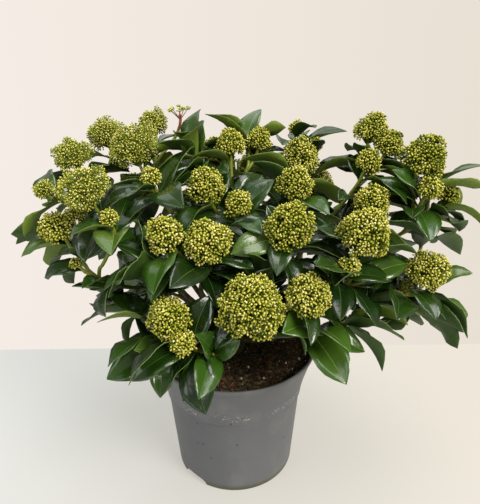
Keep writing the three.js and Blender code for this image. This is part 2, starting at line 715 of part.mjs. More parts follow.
// Leaves are set one per shoot in turn, so that no mass takes its neighbour's room.
const tries = LEAF_SIZES.flatMap((size) => LEAF_TURNS.map((turn) => [size, turn]));
for (let k = 0; k < MOST_LEAVES; k += 1) {
  MASSES.forEach((mass, massIndex) => {
    mass.shoots.forEach((shoot, shootIndex) => {
      if (k >= shoot.leaves) return;
      const others = MASSES.filter((other) => other !== mass)
        .flatMap((other) => [...other.frame, ...other.leaves]);
      const own = [...mass.frame, ...mass.leaves].filter((piece) => piece !== shoot.twig);
      for (const [size, turn] of tries) {
        const frame = leafFrame(shoot, massIndex, shootIndex, k, turn, size);
        if (outOfSpace(leafPoints(frame, 0), mass, shoot)) continue;
        const room = boxed(leaf(leafPoints(frame, LEAF_CLEARANCE)));
        if (fixed.some((piece) => touches(room, piece))) continue;
        if (others.some((piece) => touches(room, piece))) continue;
        const blade = boxed(leaf(leafPoints(frame, 0)));
        if (own.some((piece) => touches(blade, piece))) continue;
        mass.leaves.push(blade);
        break;
      }
    });
  });
}

MASSES.forEach((mass, massIndex) => {
  const finish = { color: LEAF_GREENS[massIndex % LEAF_GREENS.length], roughness: 0.4, metalness: 0 };
  const [frame, leaves] = [mass.frame, mass.leaves].map((pieces) => pieces.map(({ body }) => body));
  plant.add(named(`foliage_${mass.name}`, fuse(frame, leaves), finish));
});

export default plant;
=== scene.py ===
"""A potted skimmia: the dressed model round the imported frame.

Lengths in the rules below are millimetres, as in the part's source, and meshes are made in metres.
The limbs, shoots, twigs and leaves follow the source's growth rule, which is written again here.
"""
from math import asin, cos, degrees, hypot, pi, radians, sin, sqrt

import bpy
import numpy as np
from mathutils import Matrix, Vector, bvhtree, kdtree, noise
from numpy.linalg import norm


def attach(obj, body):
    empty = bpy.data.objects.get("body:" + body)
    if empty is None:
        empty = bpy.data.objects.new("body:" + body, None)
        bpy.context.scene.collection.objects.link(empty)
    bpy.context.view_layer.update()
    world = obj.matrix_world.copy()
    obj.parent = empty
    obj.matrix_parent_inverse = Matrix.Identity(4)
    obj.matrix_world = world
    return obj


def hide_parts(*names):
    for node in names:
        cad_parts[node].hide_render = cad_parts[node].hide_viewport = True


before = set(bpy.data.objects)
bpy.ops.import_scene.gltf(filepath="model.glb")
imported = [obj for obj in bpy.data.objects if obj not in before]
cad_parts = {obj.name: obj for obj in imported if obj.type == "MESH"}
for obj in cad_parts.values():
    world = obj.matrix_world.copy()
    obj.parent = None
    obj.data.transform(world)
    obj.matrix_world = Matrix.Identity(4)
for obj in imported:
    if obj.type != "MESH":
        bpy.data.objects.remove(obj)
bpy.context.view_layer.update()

MM = 0.001

# ---- the source's dimensions

GAP = 0.3
POT_HEIGHT, POT_WALL, POT_FLOOR = 197, 1.8, 3
FOOT_RADIUS, FOOT_CHAMFER = 86.4, 3
SHOULDER_RADIUS, SHOULDER_HEIGHT = 97, 127
STEP, RING_HEIGHT = 2, 6
COLLAR_RADIUS, COLLAR_HEIGHT = 104, 155
RIM_RADIUS, RIM_LIP, RIM_DEPTH, RIM_ROUND = 117, 2.2, 7, 1
ARCH_AZIMUTHS = (-44, 136)
ARCH_WIDTH, ARCH_HEIGHT, ARCH_DEPTH, ARCH_SPRING = 43, 10, 9, 0.35
SOIL_EDGE_HEIGHT, SOIL_EDGE_RADIUS = 182, 109
SOIL_TOP, SOIL_CROWN_RADIUS = 188, 40
TRUNK_TOP, TRUNK_FLARE_RADIUS, TRUNK_RADIUS, TRUNK_TIP_RADIUS = 264, 17, 12, 8
TRUNK_FLARE_HEIGHT, TRUNK_LEAN = 12, (3, -2)
LOWEST_BOUGH, BOUGH_SPACING, TIP_LEVEL = 206, 10.5, 6
BOUGH_RADIUS, BOUGH_TIP_RADIUS = 4.6, 3.4
BOUGH_REACH, BOUGH_RISE = 0.5, 0.36
HANDLE_OUT, HANDLE_IN = 0.3, 0.35
STEM_LENGTH = 14
TWIG_STEP, TWIG_STEPS, SHORTEST_TWIG = 48, (2, 4), 44
DETOUR_COST, TWIG_INTO_HEAD = 0.3, 0.3
CROWN_HEART, SHOOT_UP = (0, 0, 250), 0.92
HEAD_MIDDLE = 0.45
MOST_LEAVES = 9
LEAF_LENGTH, LEAF_SWELL, LEAF_WIDTH = 58, 18, 0.6
FIRST_LEAF, LEAF_SPACING, LOWEST_LEAF = 10, 4.6, 0.12
LEAF_LEAN, LEAFY_LEAN, LEAF_WIDEST, LEAF_FACES_UP = (58, 84), (24, 80), 0.52, 0.62
LEAF_VARIES = {"down": 3, "bearing": 24, "lean": 14, "length": 20, "width": 0.08}
LEAF_HANGS, LEAF_HANG_KEPT = -0.2, (0.1, 0.8)
LEAF_FOLD, LEAF_ARCH, LEAF_DROOP, LEAF_SAG = 0.1, 0.05, 0.15, 0.08
GOLDEN_ANGLE = 137.5
LEAF_TURNS = (0, 20, -20, 40, -40, 60, -60, 80, -80)
LEAF_SIZES = (1, 0.8, 0.62)
CROWN_BACK, CROWN_SIDE, CROWN_LOW = 236, 332, 200
CLEARINGS = [(88, 150, 455, 26), (19, 106, 215, 42), (13, 144, 244, 40), (10, 183, 273, 34)]
WINDOW, OPEN_BACK, OPEN_REACH, OPEN_SHARE = (0, -650, 610), 90, 120, 0.85
SKY_GAPS = [
    (90, 152, 430, 14), (-79, 154, 395, 11), (-73, 167, 342, 14), (-83, 250, 266, 40),
    (-38, 76, 309, 9), (70, 180, 309, 10), (90, 282, 325, 12), (77, 272, 209, 26),
    (91, 326, 340, 20), (-84, 300, 285, 50), (-73, 205, 222, 16), (99, 130, 469, 12),
    (44, 111, 211, 20), (23, 97, 208, 20)]
DOME_REACH, DOME_MIDDLE, DOME_HEIGHT = 205, 330, 150
PATCH_AZIMUTH, PATCH_LOW, PATCH_HIGH, HEAD_ROOM = 25, -12, 62, 58
PATCH_HEADS = (54, 46, 0, 60, 34, 0)
PATCH_LEAVES = (9, 8, 8, 9, 7, 8)

# Masses: name, level of the bough, the shoots as azimuth, reach, height of the head's middle, its
# diameter, 0 on a leafy shoot, and leaves, and at the back the azimuth of a patch of the dome.
MASSES = [
    ("left_crown", 3, [(-98, 210, 465, 50, 5), (-113, 185, 485, 50, 5), (-88, 235, 430, 30, 4),
     (-70, 180, 445, 58, 6)]),
    ("left_side", 2, [(-80, 220, 390, 46, 7), (-81, 195, 405, 30, 3), (-73, 200, 350, 18, 1),
     (-98, 252, 356, 0, 4), (-72, 166, 322, 0, 5), (-60, 160, 415, 26, 5)]),
    ("upper_left", 4, [(-104, 130, 475, 64, 6), (-130, 140, 495, 44, 5), (-139, 105, 512, 28, 0),
     (-73, 100, 450, 28, 5)]),
    ("centre_left", 3, [(-36, 125, 405, 46, 8), (-14, 105, 395, 56, 8), (-46, 140, 365, 0, 7)]),
    ("front_left", 2, [(-25, 165, 325, 50, 8), (-18, 170, 300, 32, 4), (-8, 150, 275, 0, 5)]),
    ("lower_left", 0, [(-72, 162, 292, 0, 6), (-50, 134, 290, 0, 5), (-36, 142, 258, 0, 6)]),
    ("centre_top", TIP_LEVEL, [(-44, 42, 440, 50, 8), (11, 50, 422, 36, 6), (180, 50, 475, 44, 7),
     (151, 80, 475, 36, 4), (166, 115, 485, 36, 5), (-125, 66, 478, 0, 9), (163, 82, 480, 0, 3)]),
    ("front_centre", 3, [(9, 152, 340, 74, 8), (32, 164, 345, 52, 8), (20, 95, 350, 0, 7)]),
    ("centre_right", 5, [(37, 112, 410, 60, 8), (83, 84, 435, 48, 8), (118, 107, 455, 54, 7)]),
    ("lower_right", 0, [(60, 180, 286, 0, 6), (72, 190, 298, 0, 5), (40, 155, 290, 0, 5)]),
    ("lower_back_left", 0, [(-120, 145, 290, 0, 7), (-140, 165, 265, 0, 8),
     (-104, 130, 280, 0, 5)]),
    ("lower_back_right", 0, [(120, 165, 280, 0, 8), (148, 160, 290, 0, 8), (170, 165, 265, 0, 8)]),
    ("right", 2, [(60, 180, 400, 62, 9), (77, 178, 420, 48, 7), (51, 176, 366, 26, 6),
     (60, 185, 340, 0, 6)]),
    ("right_side", 1, [(74, 250, 340, 56, 8), (75, 227, 312, 24, 4), (94, 270, 368, 16, 5),
     (77, 262, 272, 0, 6), (79, 262, 302, 0, 3)]),
    ("far_right", 3, [(90, 245, 465, 60, 8), (83, 247, 432, 34, 5), (88, 278, 415, 32, 6),
     (89, 255, 392, 0, 7), (92, 262, 432, 0, 3)]),
    ("right_crown", 4, [(105, 195, 490, 48, 7), (101, 214, 472, 42, 4), (93, 178, 457, 38, 7)]),
    ("back_right", 2, [(143, 160, 480, 26, 6), (132, 165, 460, 24, 6)], 128),
    ("back_centre", 3, [], 178),
    ("back_left", 2, [], -136),
]

# ---- small helpers


def vec(*xyz):
    return np.array(xyz, float)


def unit(v):
    """A vector, or each of many, at length 1."""
    return v / norm(v, axis=-1, keepdims=True)


def lerp(a, b, share):
    return a + (b - a) * share


def polar(azimuth, reach, height):
    """A place round the pot's axis. Azimuths go from the front towards +X."""
    a = radians(azimuth)
    return vec(reach * sin(a), -reach * cos(a), height)


def turns(count):
    """Angles spread evenly round a circle."""
    return np.arange(count) * 2 * pi / count


def circle(angles):
    return np.stack([np.cos(angles), np.sin(angles)], -1)


def chance(mass, shoot, leaf, use):
    """A number from 0 to 1 that depends only on the four whole numbers given, as in the source."""
    def mul(a, b):
        return (a * b) & 0xFFFFFFFF

    h = mul(mass + 1, 73856093) ^ mul(shoot + 1, 19349663)
    h ^= mul(leaf + 1, 83492791) ^ mul(use + 1, 40503)
    h = mul(h ^ (h >> 15), 739982445)
    h = mul(h ^ (h >> 12), 695872825)
    return (h ^ (h >> 15)) / 4294967296


def basis(axis):
    """Three unit vectors square to each other, the last the axis, or three for each of many."""
    across = np.where(abs(axis[..., :1]) < abs(axis[..., 1:2]), vec(1, 0, 0), vec(0, 1, 0))
    first = unit(np.cross(axis, across))
    return np.stack([first, np.cross(axis, first), axis], -2)


class Curve:
    """A cubic Bezier curve."""

    def __init__(self, *ends):
        self.ends = np.array(ends)

    def points(self, t):
        t = np.asarray(t, float)[..., None]
        a, b, c, d = self.ends
        u = 1 - t
        return u ** 3 * a + 3 * u * u * t * b + 3 * u * t * t * c + t ** 3 * d

    def tangent(self, t):
        return unit(self.points(min(1, t + 1e-4)) - self.points(max(0, t - 1e-4)))


# ---- the growth rule


class Shoot:
    def __init__(self, mass, azimuth, reach, height, size, leaves):
        self.mass, self.number, self.size, self.leaves = mass, len(mass.shoots), size, leaves
        self.key = mass.name, self.number
        self.head = polar(azimuth, reach, height)
        self.direction = unit(unit(self.head - CROWN_HEART) + (0, 0, SHOOT_UP))
        self.tip = self.head - HEAD_MIDDLE * size * self.direction

    def dice(self, leaf, use):
        return chance(self.mass.index, self.number, leaf, use)


class Mass:
    def __init__(self, index, name, level, shoots, patch=None):
        self.index, self.name, self.level, self.patch = index, name, level, patch
        self.shoots, self.leaves = [], []
        for numbers in shoots:
            self.shoots.append(Shoot(self, *numbers))


def patch_shoots(mass):
    middle = (PATCH_LOW + PATCH_HIGH) / 2
    for i, (size, leaves) in enumerate(zip(PATCH_HEADS, PATCH_LEAVES)):
        spread, turn = sqrt((i + 0.5) / len(PATCH_HEADS)), radians(i * GOLDEN_ANGLE)
        elevation = radians(middle + (PATCH_HIGH - middle) * spread * sin(turn))
        yield Shoot(mass, mass.patch + PATCH_AZIMUTH * spread * cos(turn),
                    DOME_REACH * cos(elevation), DOME_MIDDLE + DOME_HEIGHT * sin(elevation),
                    size, leaves)


masses = [Mass(i, *numbers) for i, numbers in enumerate(MASSES)]
placed = [shoot for mass in masses for shoot in mass.shoots]
for mass in masses:
    for shoot in patch_shoots(mass) if mass.patch is not None else ():
        if all(norm(other.head - shoot.head) >= HEAD_ROOM for other in placed):
            mass.shoots.append(shoot)
            placed.append(shoot)


def trunk_centre(height):
    share = (height - SOIL_TOP) / (TRUNK_TOP - SOIL_TOP)
    return vec(*(lean * share * share for lean in TRUNK_LEAN), height)


def trunk_radius(height):
    above = height - SOIL_TOP
    flare = max(0, 1 - above / TRUNK_FLARE_HEIGHT)
    return (lerp(TRUNK_RADIUS, TRUNK_TIP_RADIUS, above / (TRUNK_TOP - SOIL_TOP))
            + (TRUNK_FLARE_RADIUS - TRUNK_RADIUS) * flare * flare)


def bough_curve(mass):
    middle = sum(shoot.head for shoot in mass.shoots) / len(mass.shoots)
    at_tip = mass.level == TIP_LEVEL
    height = TRUNK_TOP if at_tip else LOWEST_BOUGH + BOUGH_SPACING * mass.level
    end = lerp(vec(0, 0, height), middle, vec(BOUGH_REACH, BOUGH_REACH, BOUGH_RISE))
    direction = unit(middle - end)
    centre = trunk_centre(height)
    outward = vec(0, 0, 1) if at_tip else unit((end - centre) * (1, 1, 0))
    clear = GAP * 2 if at_tip else trunk_radius(height - BOUGH_RADIUS) + GAP * 1.6
    start = centre + outward * clear
    length = norm(end - start)
    return Curve(start, start + outward * length * HANDLE_OUT,
                 end - direction * length * HANDLE_IN, end)


def grow_twigs(mass):
    """Each shoot's twig leaves the stem's fork or another twig, wherever its way is shortest."""
    fork = mass.stem_start + mass.heading * STEM_LENGTH
    places = [(fork, mass.heading, 0)]
    for shoot in sorted(mass.shoots, key=lambda s: norm(s.tip - fork)):
        def away(place):
            return norm(place[0] - shoot.tip)

        far = [place for place in places if away(place) > SHORTEST_TWIG] or places[:1]
        best = min(far, key=lambda place: away(place) + DETOUR_COST * place[2])
        start, heading, shoot.path = best
        shoot.length = length = away(best)
        shoot.curve = Curve(start, start + heading * length * HANDLE_OUT,
                            shoot.tip - shoot.direction * length * HANDLE_IN,
                            shoot.tip + shoot.direction * TWIG_INTO_HEAD * shoot.size)
        steps = np.clip(int(length / TWIG_STEP + 0.5), *TWIG_STEPS)
        for share in np.arange(1, steps) / steps:
            places.append((shoot.curve.points(share), shoot.curve.tangent(share),
                           shoot.path + length * share))


for mass in masses:
    mass.bough = bough_curve(mass)
    mass.heading = mass.bough.tangent(1)
    mass.stem_start = mass.bough.points(1) + mass.heading * GAP
    grow_twigs(mass)

VISIBLE_WIDTH = 0.84  # of the solid leaf's width, which is larger than life


class Leaf:
    """Where a leaf stands and how: root, direction, upper side, length and width."""

    def __init__(self, shoot, k, turn, size):
        def varied(name, use):
            return LEAF_VARIES[name] * (self.dice(use) - 0.5)

        self.shoot, self.k = shoot, k
        count = max(2, shoot.leaves)
        down = FIRST_LEAF + LEAF_SPACING * k + LEAF_VARIES["down"] * self.dice(0)
        self.share = max(LOWEST_LEAF, 1 - down / shoot.length)
        self.root = shoot.curve.points(self.share)
        axis = shoot.curve.tangent(self.share)
        bearing = radians(k * GOLDEN_ANGLE + 360 * shoot.dice(0, 9) + varied("bearing", 1) + turn)
        self.lower = k / (count - 1)
        leans = LEAF_LEAN if shoot.size > 0 else LEAFY_LEAN
        lean = radians(lerp(*leans, self.lower) + varied("lean", 2))
        along = vec(sin(lean) * cos(bearing), sin(lean) * sin(bearing), cos(lean)) @ basis(axis)
        along[2] -= LEAF_SAG * (1 + self.lower)
        along = unit(along)
        if along[2] < LEAF_HANGS:
            along[2] = LEAF_HANGS + (along[2] - LEAF_HANGS) * lerp(*LEAF_HANG_KEPT, self.dice(5))
        self.along = along = unit(along)
        upper = axis + (0, 0, LEAF_FACES_UP)
        self.upper = unit(upper - along * upper.dot(along))
        self.frame = np.stack([along, self.upper, np.cross(along, self.upper)])
        swell = LEAF_SWELL * sin(pi * (k + 0.5) / count)
        self.length = (LEAF_LENGTH + swell + varied("length", 3)) * size
        self.width = self.length * (LEAF_WIDTH + varied("width", 4))

    def dice(self, use):
        return self.shoot.dice(self.k, use)

    def at(self, *places):
        """Points given as the way along, up and across from the root."""
        return self.root + places @ self.frame

    def corners(self):
        """The solid leaf's tip, its two edges and the top of its middle."""
        rise, half = LEAF_ARCH * self.length, self.width / 2
        edge, widest = rise + LEAF_FOLD * self.width, self.length * LEAF_WIDEST
        return self.at((self.length, -LEAF_DROOP * self.length, 0), (widest, edge, half),
                       (widest, edge, -half), (widest, rise, 0))

    def outline(self):
        """The visible leaf's root, its two edges and its tip."""
        rise, half = LEAF_ARCH * self.length, VISIBLE_WIDTH * self.width / 2
        return self.at((0.1 * self.length, 0, 0), (self.length / 2, rise, half),
                       (self.length / 2, rise, -half),
                       (0.98 * self.length, -LEAF_DROOP * self.length, 0))


CORNER_MATCH = 0.15


def is_solid(leaf):
    """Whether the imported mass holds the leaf: its corners are then among the mass's own."""
    return all(leaf.shoot.mass.tree.find(p)[2] < CORNER_MATCH for p in leaf.corners()[:3])


def set_leaf(shoot, k, sizes, fits):
    """Sets the first leaf that fits, of these sizes and all turns, in the source's order."""
    tries = (Leaf(shoot, k, turn, size) for size in sizes for turn in LEAF_TURNS)
    leaf = next(filter(fits, tries), None)
    if leaf:
        shoot.mass.leaves.append(leaf)
    return leaf


for mass in masses:
    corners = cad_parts["foliage_" + mass.name].data.vertices
    mass.tree = kdtree.KDTree(len(corners))
    for corner in corners:
        mass.tree.insert(corner.co / MM, corner.index)
    mass.tree.balance()
missing = [(shoot, k) for k in range(MOST_LEAVES) for mass in masses for shoot in mass.shoots
           if k < shoot.leaves and not set_leaf(shoot, k, LEAF_SIZES, is_solid)]

# ---- leaves between the solid ones

FILL_SIZES = (1, 0.86, 0.72, 0.6, 0.5)
NARROWER = 0.8  # where a leaf's edge is tested, as a share of its half width
HEAD_CLEARANCE = 0.92  # of a head's radius that a leaf keeps out of
TWIG_CLEARANCE, TWIG_SAMPLE, BOUGH_SAMPLES = 4.5, 7, 16
RIM_CLEARANCE = (4, 5)  # outwards and upwards

heads = [shoot for shoot in placed if shoot.size > 0]
head_places = np.array([shoot.head for shoot in heads])
head_radii = np.array([shoot.size / 2 for shoot in heads])
limbs = [(shoot.curve, max(3, int(shoot.length / TWIG_SAMPLE)), id(shoot)) for shoot in placed]
limbs += [(mass.bough, BOUGH_SAMPLES, 0) for mass in masses]
curves, counts, owners = zip(*limbs)
limb_places = np.concatenate([c.points(np.linspace(0, 1, n)) for c, n in zip(curves, counts)])
limb_owners = np.repeat(owners, counts)


def beside(points, start, end):
    """How far points are along the line from start towards end, and how far beside it."""
    way, off = unit(end - start), points - start
    along = off @ way
    return along, norm(off - np.outer(along, way), axis=1)


def faults(leaf):
    """Tests of a leaf's points, true where they aren't free. The first ones are the source's."""
    tip, right, left, middle = corners = leaf.corners()
    points = np.array([*corners, *((middle + end) / 2 for end in (tip, leaf.root, left, right))])
    x, y, z = points.T
    yield (y > CROWN_BACK) | (abs(x) > CROWN_SIDE) | (z < CROWN_LOW)
    for *place, radius in CLEARINGS:
        yield norm(points - polar(*place), axis=1) < radius
    for other in leaf.shoot.mass.shoots:
        if other is not leaf.shoot and other.size > 0:
            yield norm(points - other.head, axis=1) < other.size / 2
    # just before a head as seen from the window, and in its sight through a gap in the crown
    for other in heads:
        if other.head[1] < OPEN_BACK:
            before, off = beside(points, other.head, WINDOW)
            yield (0 <= before) & (before <= OPEN_REACH) & (off < OPEN_SHARE * other.size / 2)
    for *place, radius in SKY_GAPS:
        yield beside(points, WINDOW, polar(*place))[1] < radius
    narrow = [lerp(middle, edge, NARROWER) for edge in (right, left)]
    points = np.array([*narrow, *points[[0, 3, 4, 5]]])
    x, y, z = points.T
    yield norm(points[:, None] - head_places, axis=2) < head_radii * HEAD_CLEARANCE
    at_limb = norm(points[:, None] - limb_places, axis=2) < TWIG_CLEARANCE
    at_limb[-1, limb_owners == id(leaf.shoot)] = False
    yield at_limb
    yield (np.hypot(x, y) < RIM_RADIUS + RIM_CLEARANCE[0]) & (z < POT_HEIGHT + RIM_CLEARANCE[1])


def sheet_of(leaf):
    """A leaf's outline as a box and a tree of faces, for the test of leaf against leaf."""
    a, b, c, d = leaf.outline()
    corners = [a, b, c, d, (b + c) / 2 - leaf.upper * 0.06 * leaf.width]
    faces = (0, 1, 4), (0, 4, 2), (1, 3, 4), (4, 3, 2)
    return np.min(corners, 0), np.max(corners, 0), bvhtree.BVHTree.FromPolygons(corners, faces)


sheets = [sheet_of(leaf) for mass in masses for leaf in mass.leaves]


def has_room(leaf):
    """Whether a leaf keeps clear of heads, limbs, the rim and all the leaves so far."""
    if any(fault.any() for fault in faults(leaf)):
        return False
    low, high, tree = sheet = sheet_of(leaf)
    if any(((low <= top) & (bottom <= high)).all() and tree.overlap(other)
           for bottom, top, other in sheets):
        return False
    sheets.append(sheet)
    return True


for place in missing:
    set_leaf(*place, FILL_SIZES, has_room)

# ---- meshes


def add_object(name, data):
    made = bpy.data.objects.new(name, data)
    bpy.context.scene.collection.objects.link(made)
    return made


class Piece:
    """Faces that become one mesh, in millimetres until then."""

    def __init__(self, name, *materials):
        self.name, self.materials = name, materials
        self.points, self.count, self.faces = [], 0, {4: [], 3: []}

    def add(self, points, *groups):
        """Each group is faces of 3 or of 4 corners, by number, then their materials' numbers and
        whether they are smooth, for all of them or one by one."""
        start = self.count
        self.points.append(np.reshape(points, (-1, 3)))
        self.count += len(self.points[-1])
        for faces, *looks in groups:
            count, size = np.shape(faces)
            self.faces[size].append((np.asarray(faces) + start,
                                     *(np.broadcast_to(look, count) for look in looks)))

    def make(self, slot, *replaced):
        mesh = bpy.data.meshes.new(self.name)
        faces, slots, smooth = zip(*self.faces[4], *self.faces[3])
        corners = np.concatenate([group.ravel() for group in faces])
        sizes = np.repeat([group.shape[1] for group in faces], [len(group) for group in faces])
        mesh.vertices.add(self.count)
        mesh.loops.add(len(corners))
        mesh.polygons.add(len(sizes))
        for part, name, values, kind in (
                (mesh.vertices, "co", np.concatenate(self.points).ravel() * MM, np.float32),
                (mesh.loops, "vertex_index", corners, np.int32),
                (mesh.polygons, "loop_start", np.cumsum(sizes) - sizes, np.int32),
                (mesh.polygons, "material_index", np.concatenate(slots), np.int32),
                (mesh.polygons, "use_smooth", np.concatenate(smooth), bool)):
            part.foreach_set(name, values.astype(kind))
        for material in self.materials:
            mesh.materials.append(material)
        mesh.update(calc_edges=True)
        mesh.validate()
        made = add_object(self.name, mesh)
        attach(made, "root")
        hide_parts(*replaced)
        return made


def grid_quads(rows, columns):
    """Corner numbers of the faces between rows of points, the last column joined to the first."""
    row, column = np.arange(rows - 1)[:, None] * columns, np.arange(columns)
    a, b = row + column, row + (column + 1) % columns
    return np.stack([a, b, b + columns, a + columns], -1).reshape(-1, 4)


def closed_rings(rows, sides):
    """The faces of a body of rings, and its caps, whose tips are the two points after the rings."""
    ring = np.arange(sides)
    after = (ring + 1) % sides
    last, tip = (rows - 1) * sides, np.full(sides, rows * sides)
    caps = [np.stack([tip, ring, after], -1), np.stack([tip + 1, last + after, last + ring], -1)]
    return grid_quads(rows, sides)[:, ::-1], np.concatenate(caps)


def tube(piece, path, radii, sides, slots, relief=1):
    """A closed limb along a path. slots gives the material of each step; relief moves its rings."""
    path, radii = np.asarray(path, float), np.asarray(radii, float)
    tangents = unit(np.gradient(path, axis=0))
    side = unit(np.cross(tangents, basis(unit(path[-1] - path[0]))[0]))
    up = np.cross(side, tangents)
    spread = np.broadcast_to(radii[:, None] * relief, (len(path), sides))
    rings = path[:, None] + spread[..., None] * (circle(turns(sides)) @ np.stack([side, up], 1))
    points = [rings.reshape(-1, 3), path[:1] - tangents[:1] * radii[0] * 0.4,
              path[-1:] + tangents[-1:] * radii[-1] * 0.4]
    slots = np.broadcast_to(slots, len(path) - 1)
    quads, caps = closed_rings(len(path), sides)
    piece.add(np.concatenate(points), (quads, np.repeat(slots, sides), True),
              (caps, np.repeat([slots[0], slots[-1]], sides), True))


# ---- materials


def colour(*levels):
    """The scene's colour for red, green and blue given in the usual 0 to 255."""
    levels = [level / 255 for level in levels]
    return (*(v / 12.92 if v <= 0.04045 else ((v + 0.055) / 1.055) ** 2.4 for v in levels), 1)


def feed(made, inputs):
    """Links or sets a node's inputs, given by name or number."""
    for key, value in inputs.items():
        if isinstance(value, bpy.types.NodeSocket):
            made.id_data.links.new(value, made.inputs[key])
        else:
            made.inputs[key].default_value = value


def node(kind, output, inputs={}, tree=None, **settings):
    """One output of a new node, which joins the tree of its first input if none is given."""
    made = (tree or list(inputs.values())[0].id_data).nodes.new("ShaderNode" + kind)
    for name, value in settings.items():
        setattr(made, name, value)
    feed(made, inputs)
    return made.outputs[output]


def shaded(name, build, roughness, specular=0.5):
    """A material whose other inputs come from build(place)."""
    material = bpy.data.materials.new(name)
    material.use_nodes = True
    tree = material.node_tree
    feed(tree.nodes["Principled BSDF"],
         {"Roughness": roughness, "Specular IOR Level": specular,
          **build(node("TexCoord", "Object", tree=tree))})
    return material


def clouds(place, scale, detail=4, stretch=None):
    if stretch:
        place = node("Mapping", "Vector", {"Vector": place, "Scale": stretch})
    return node("TexNoise", "Fac", {"Vector": place, "Scale": scale, "Detail": detail})


def bump(height, distance):
    return node("Bump", "Normal", {"Height": height, "Distance": distance})


def ramp(value, stops):
    """Colours along a value, each given with its place."""
    made = value.id_data.nodes.new("ShaderNodeValToRGB")
    elements = made.color_ramp.elements
    while len(elements) < len(stops):
        elements.new(0.5)
    for element, (place, shade) in zip(elements, stops):
        element.position = place
        element.color = colour(*shade)
    feed(made, {"Fac": value})
    return made.outputs["Color"]


def mix(factor, a, b):
    return node("Mix", "Result", {"Factor": factor, "A": a, "B": b}, data_type="RGBA")


def maths(operation, *values):
    return node("Math", "Value", dict(enumerate(values)), operation=operation)


def share_of(value, low, high, most=1):
    """0 to most as value goes from low to high, either way round."""
    return node("MapRange", "Result",
                {"Value": value, "From Min": low, "From Max": high, "To Max": most})


COAT_ROUGHNESS = 0.14


def finish(name, base, roughness, relief=(600, 0.0002), coat=0, specular=0.5):
    """A surface with a plain base colour and a fine relief: its noise's scale, and its depth."""
    def build(place):
        scale, depth = relief
        return {"Base Color": colour(*base), "Coat Weight": coat, "Coat Roughness": COAT_ROUGHNESS,
                "Normal": bump(clouds(place, scale, 3), depth)}

    return shaded(name, build, roughness, specular)


def crumbly(scale, detail, depth, stops, stretch=None):
    """What builds a surface whose colour and relief follow one noise."""
    def build(place):
        grain = clouds(place, scale, detail, stretch)
        return {"Base Color": ramp(grain, stops), "Normal": bump(grain, depth)}

    return build


SCUFFS_HEIGHT = 0.142  # in metres, as all lengths in materials are


def plastic(place):
    def patches(low, high, most, *noise_of):
        return share_of(clouds(place, *noise_of), low, high, most)

    base = ramp(clouds(place, 9, 5), ((0.3, (95, 97, 101)), (0.7, (106, 108, 111))))
    height = node("SeparateXYZ", "Z", {"Vector": place})
    # pale scuffs lie in patches on the collar just above the ring
    off_ring = maths("ABSOLUTE", maths("SUBTRACT", height, SCUFFS_HEIGHT))
    scuffs = share_of(off_ring, 0.010, 0.004)
    for part in patches(0.46, 0.54, 1, 22, 2), patches(0.60, 0.66, 0.9, 330, 4, (1, 1, 1.6)):
        scuffs = maths("MULTIPLY", scuffs, part)
    # a film of dust dulls the wall, and the bottom edge darkens to olive brown
    film = patches(0.52, 0.8, 0.22, 38, 6, (1, 1, 0.6))
    specks = node("TexVoronoi", "Distance", {"Vector": place, "Scale": 48})
    for part, shade in (
            (scuffs, (214, 213, 208)), (film, (150, 148, 142)),
            (share_of(height, 0.012, 0.004, 0.8), (76, 73, 38)),
            (share_of(specks, 0.095, 0.07, 0.8), (58, 50, 42))):
        base = mix(part, base, colour(*shade))
    return {"Base Color": base, "Normal": bump(clouds(place, 900, 3), 0.00012)}


def finishes(kind, *surface, **shades):
    """Surfaces of one kind in several shades."""
    return [finish(kind + name, base, *surface) for name, base in shades.items()]


LEAF_RELIEF, TWIG_RELIEF, BUD_RELIEF = (160, 0.0006), (900, 0.0004), (900, 0.0001)
LEAF_FINISHES = [
    *finishes("leaf_", 0.27, LEAF_RELIEF, 0.75, deep=(22, 46, 10), dark=(34, 62, 14),
              green=(50, 84, 20), fresh=(64, 96, 28), young=(80, 108, 38)),
    *finishes("leaf_", 0.55, LEAF_RELIEF, underside=(60, 88, 28), underside_pale=(120, 144, 50)),
    *finishes("leaf_", 0.4, midrib=(68, 98, 38), midrib_pale=(118, 142, 58)),
    finish("leaf_margin", (112, 138, 66), 0.45)]
YOUNG_SLOT, UNDER_SLOT, RIB_SLOT, MARGIN_SLOT = 4, 5, 7, 9
TWIG_FINISHES = [
    finish("twig_old", (92, 84, 48), 0.7, TWIG_RELIEF), finish("twig_olive", (106, 112, 42), 0.55),
    finish("twig_young", (142, 152, 52), 0.45), finish("twig_red", (150, 78, 58), 0.5)]
# Each bud's tip takes the next paler shade as a painted highlight, and cream shows only on those
# tips.
BLOSSOM_FINISHES = [
    *finishes("bud_", 0.42, BUD_RELIEF, 0, 0.4, olive=(88, 104, 16), green=(142, 152, 32),
              yellow=(192, 190, 64), pale=(226, 218, 106), cream=(252, 244, 168),
              rosy=(196, 150, 104)),
    finish("pedicel", (112, 124, 34), 0.6, specular=0.3),
    finish("pedicel_red", (148, 92, 66), 0.6),
    finish("pedicel_pale", (146, 162, 64), 0.6, specular=0.3)]
ROSY_BUD, PEDICEL_SLOT = 5, 6
ROSY_SHARE = 0.006  # of all buds
POT_FINISH = shaded("grey_plastic", plastic, 0.52, 0.4)
SOIL_FINISH = shaded("peat", crumbly(170, 8, 0.004, (
    (0.30, (31, 29, 22)), (0.48, (64, 59, 44)), (0.60, (104, 90, 63)),
    (0.75, (150, 127, 93)))), 0.95, 0.2)
BARK_FINISH = shaded("bark", crumbly(260, 6, 0.0012, (
    (0.3, (64, 52, 34)), (0.52, (98, 86, 56)), (0.72, (132, 120, 84))), (1, 1, 0.22)), 0.85, 0.3)
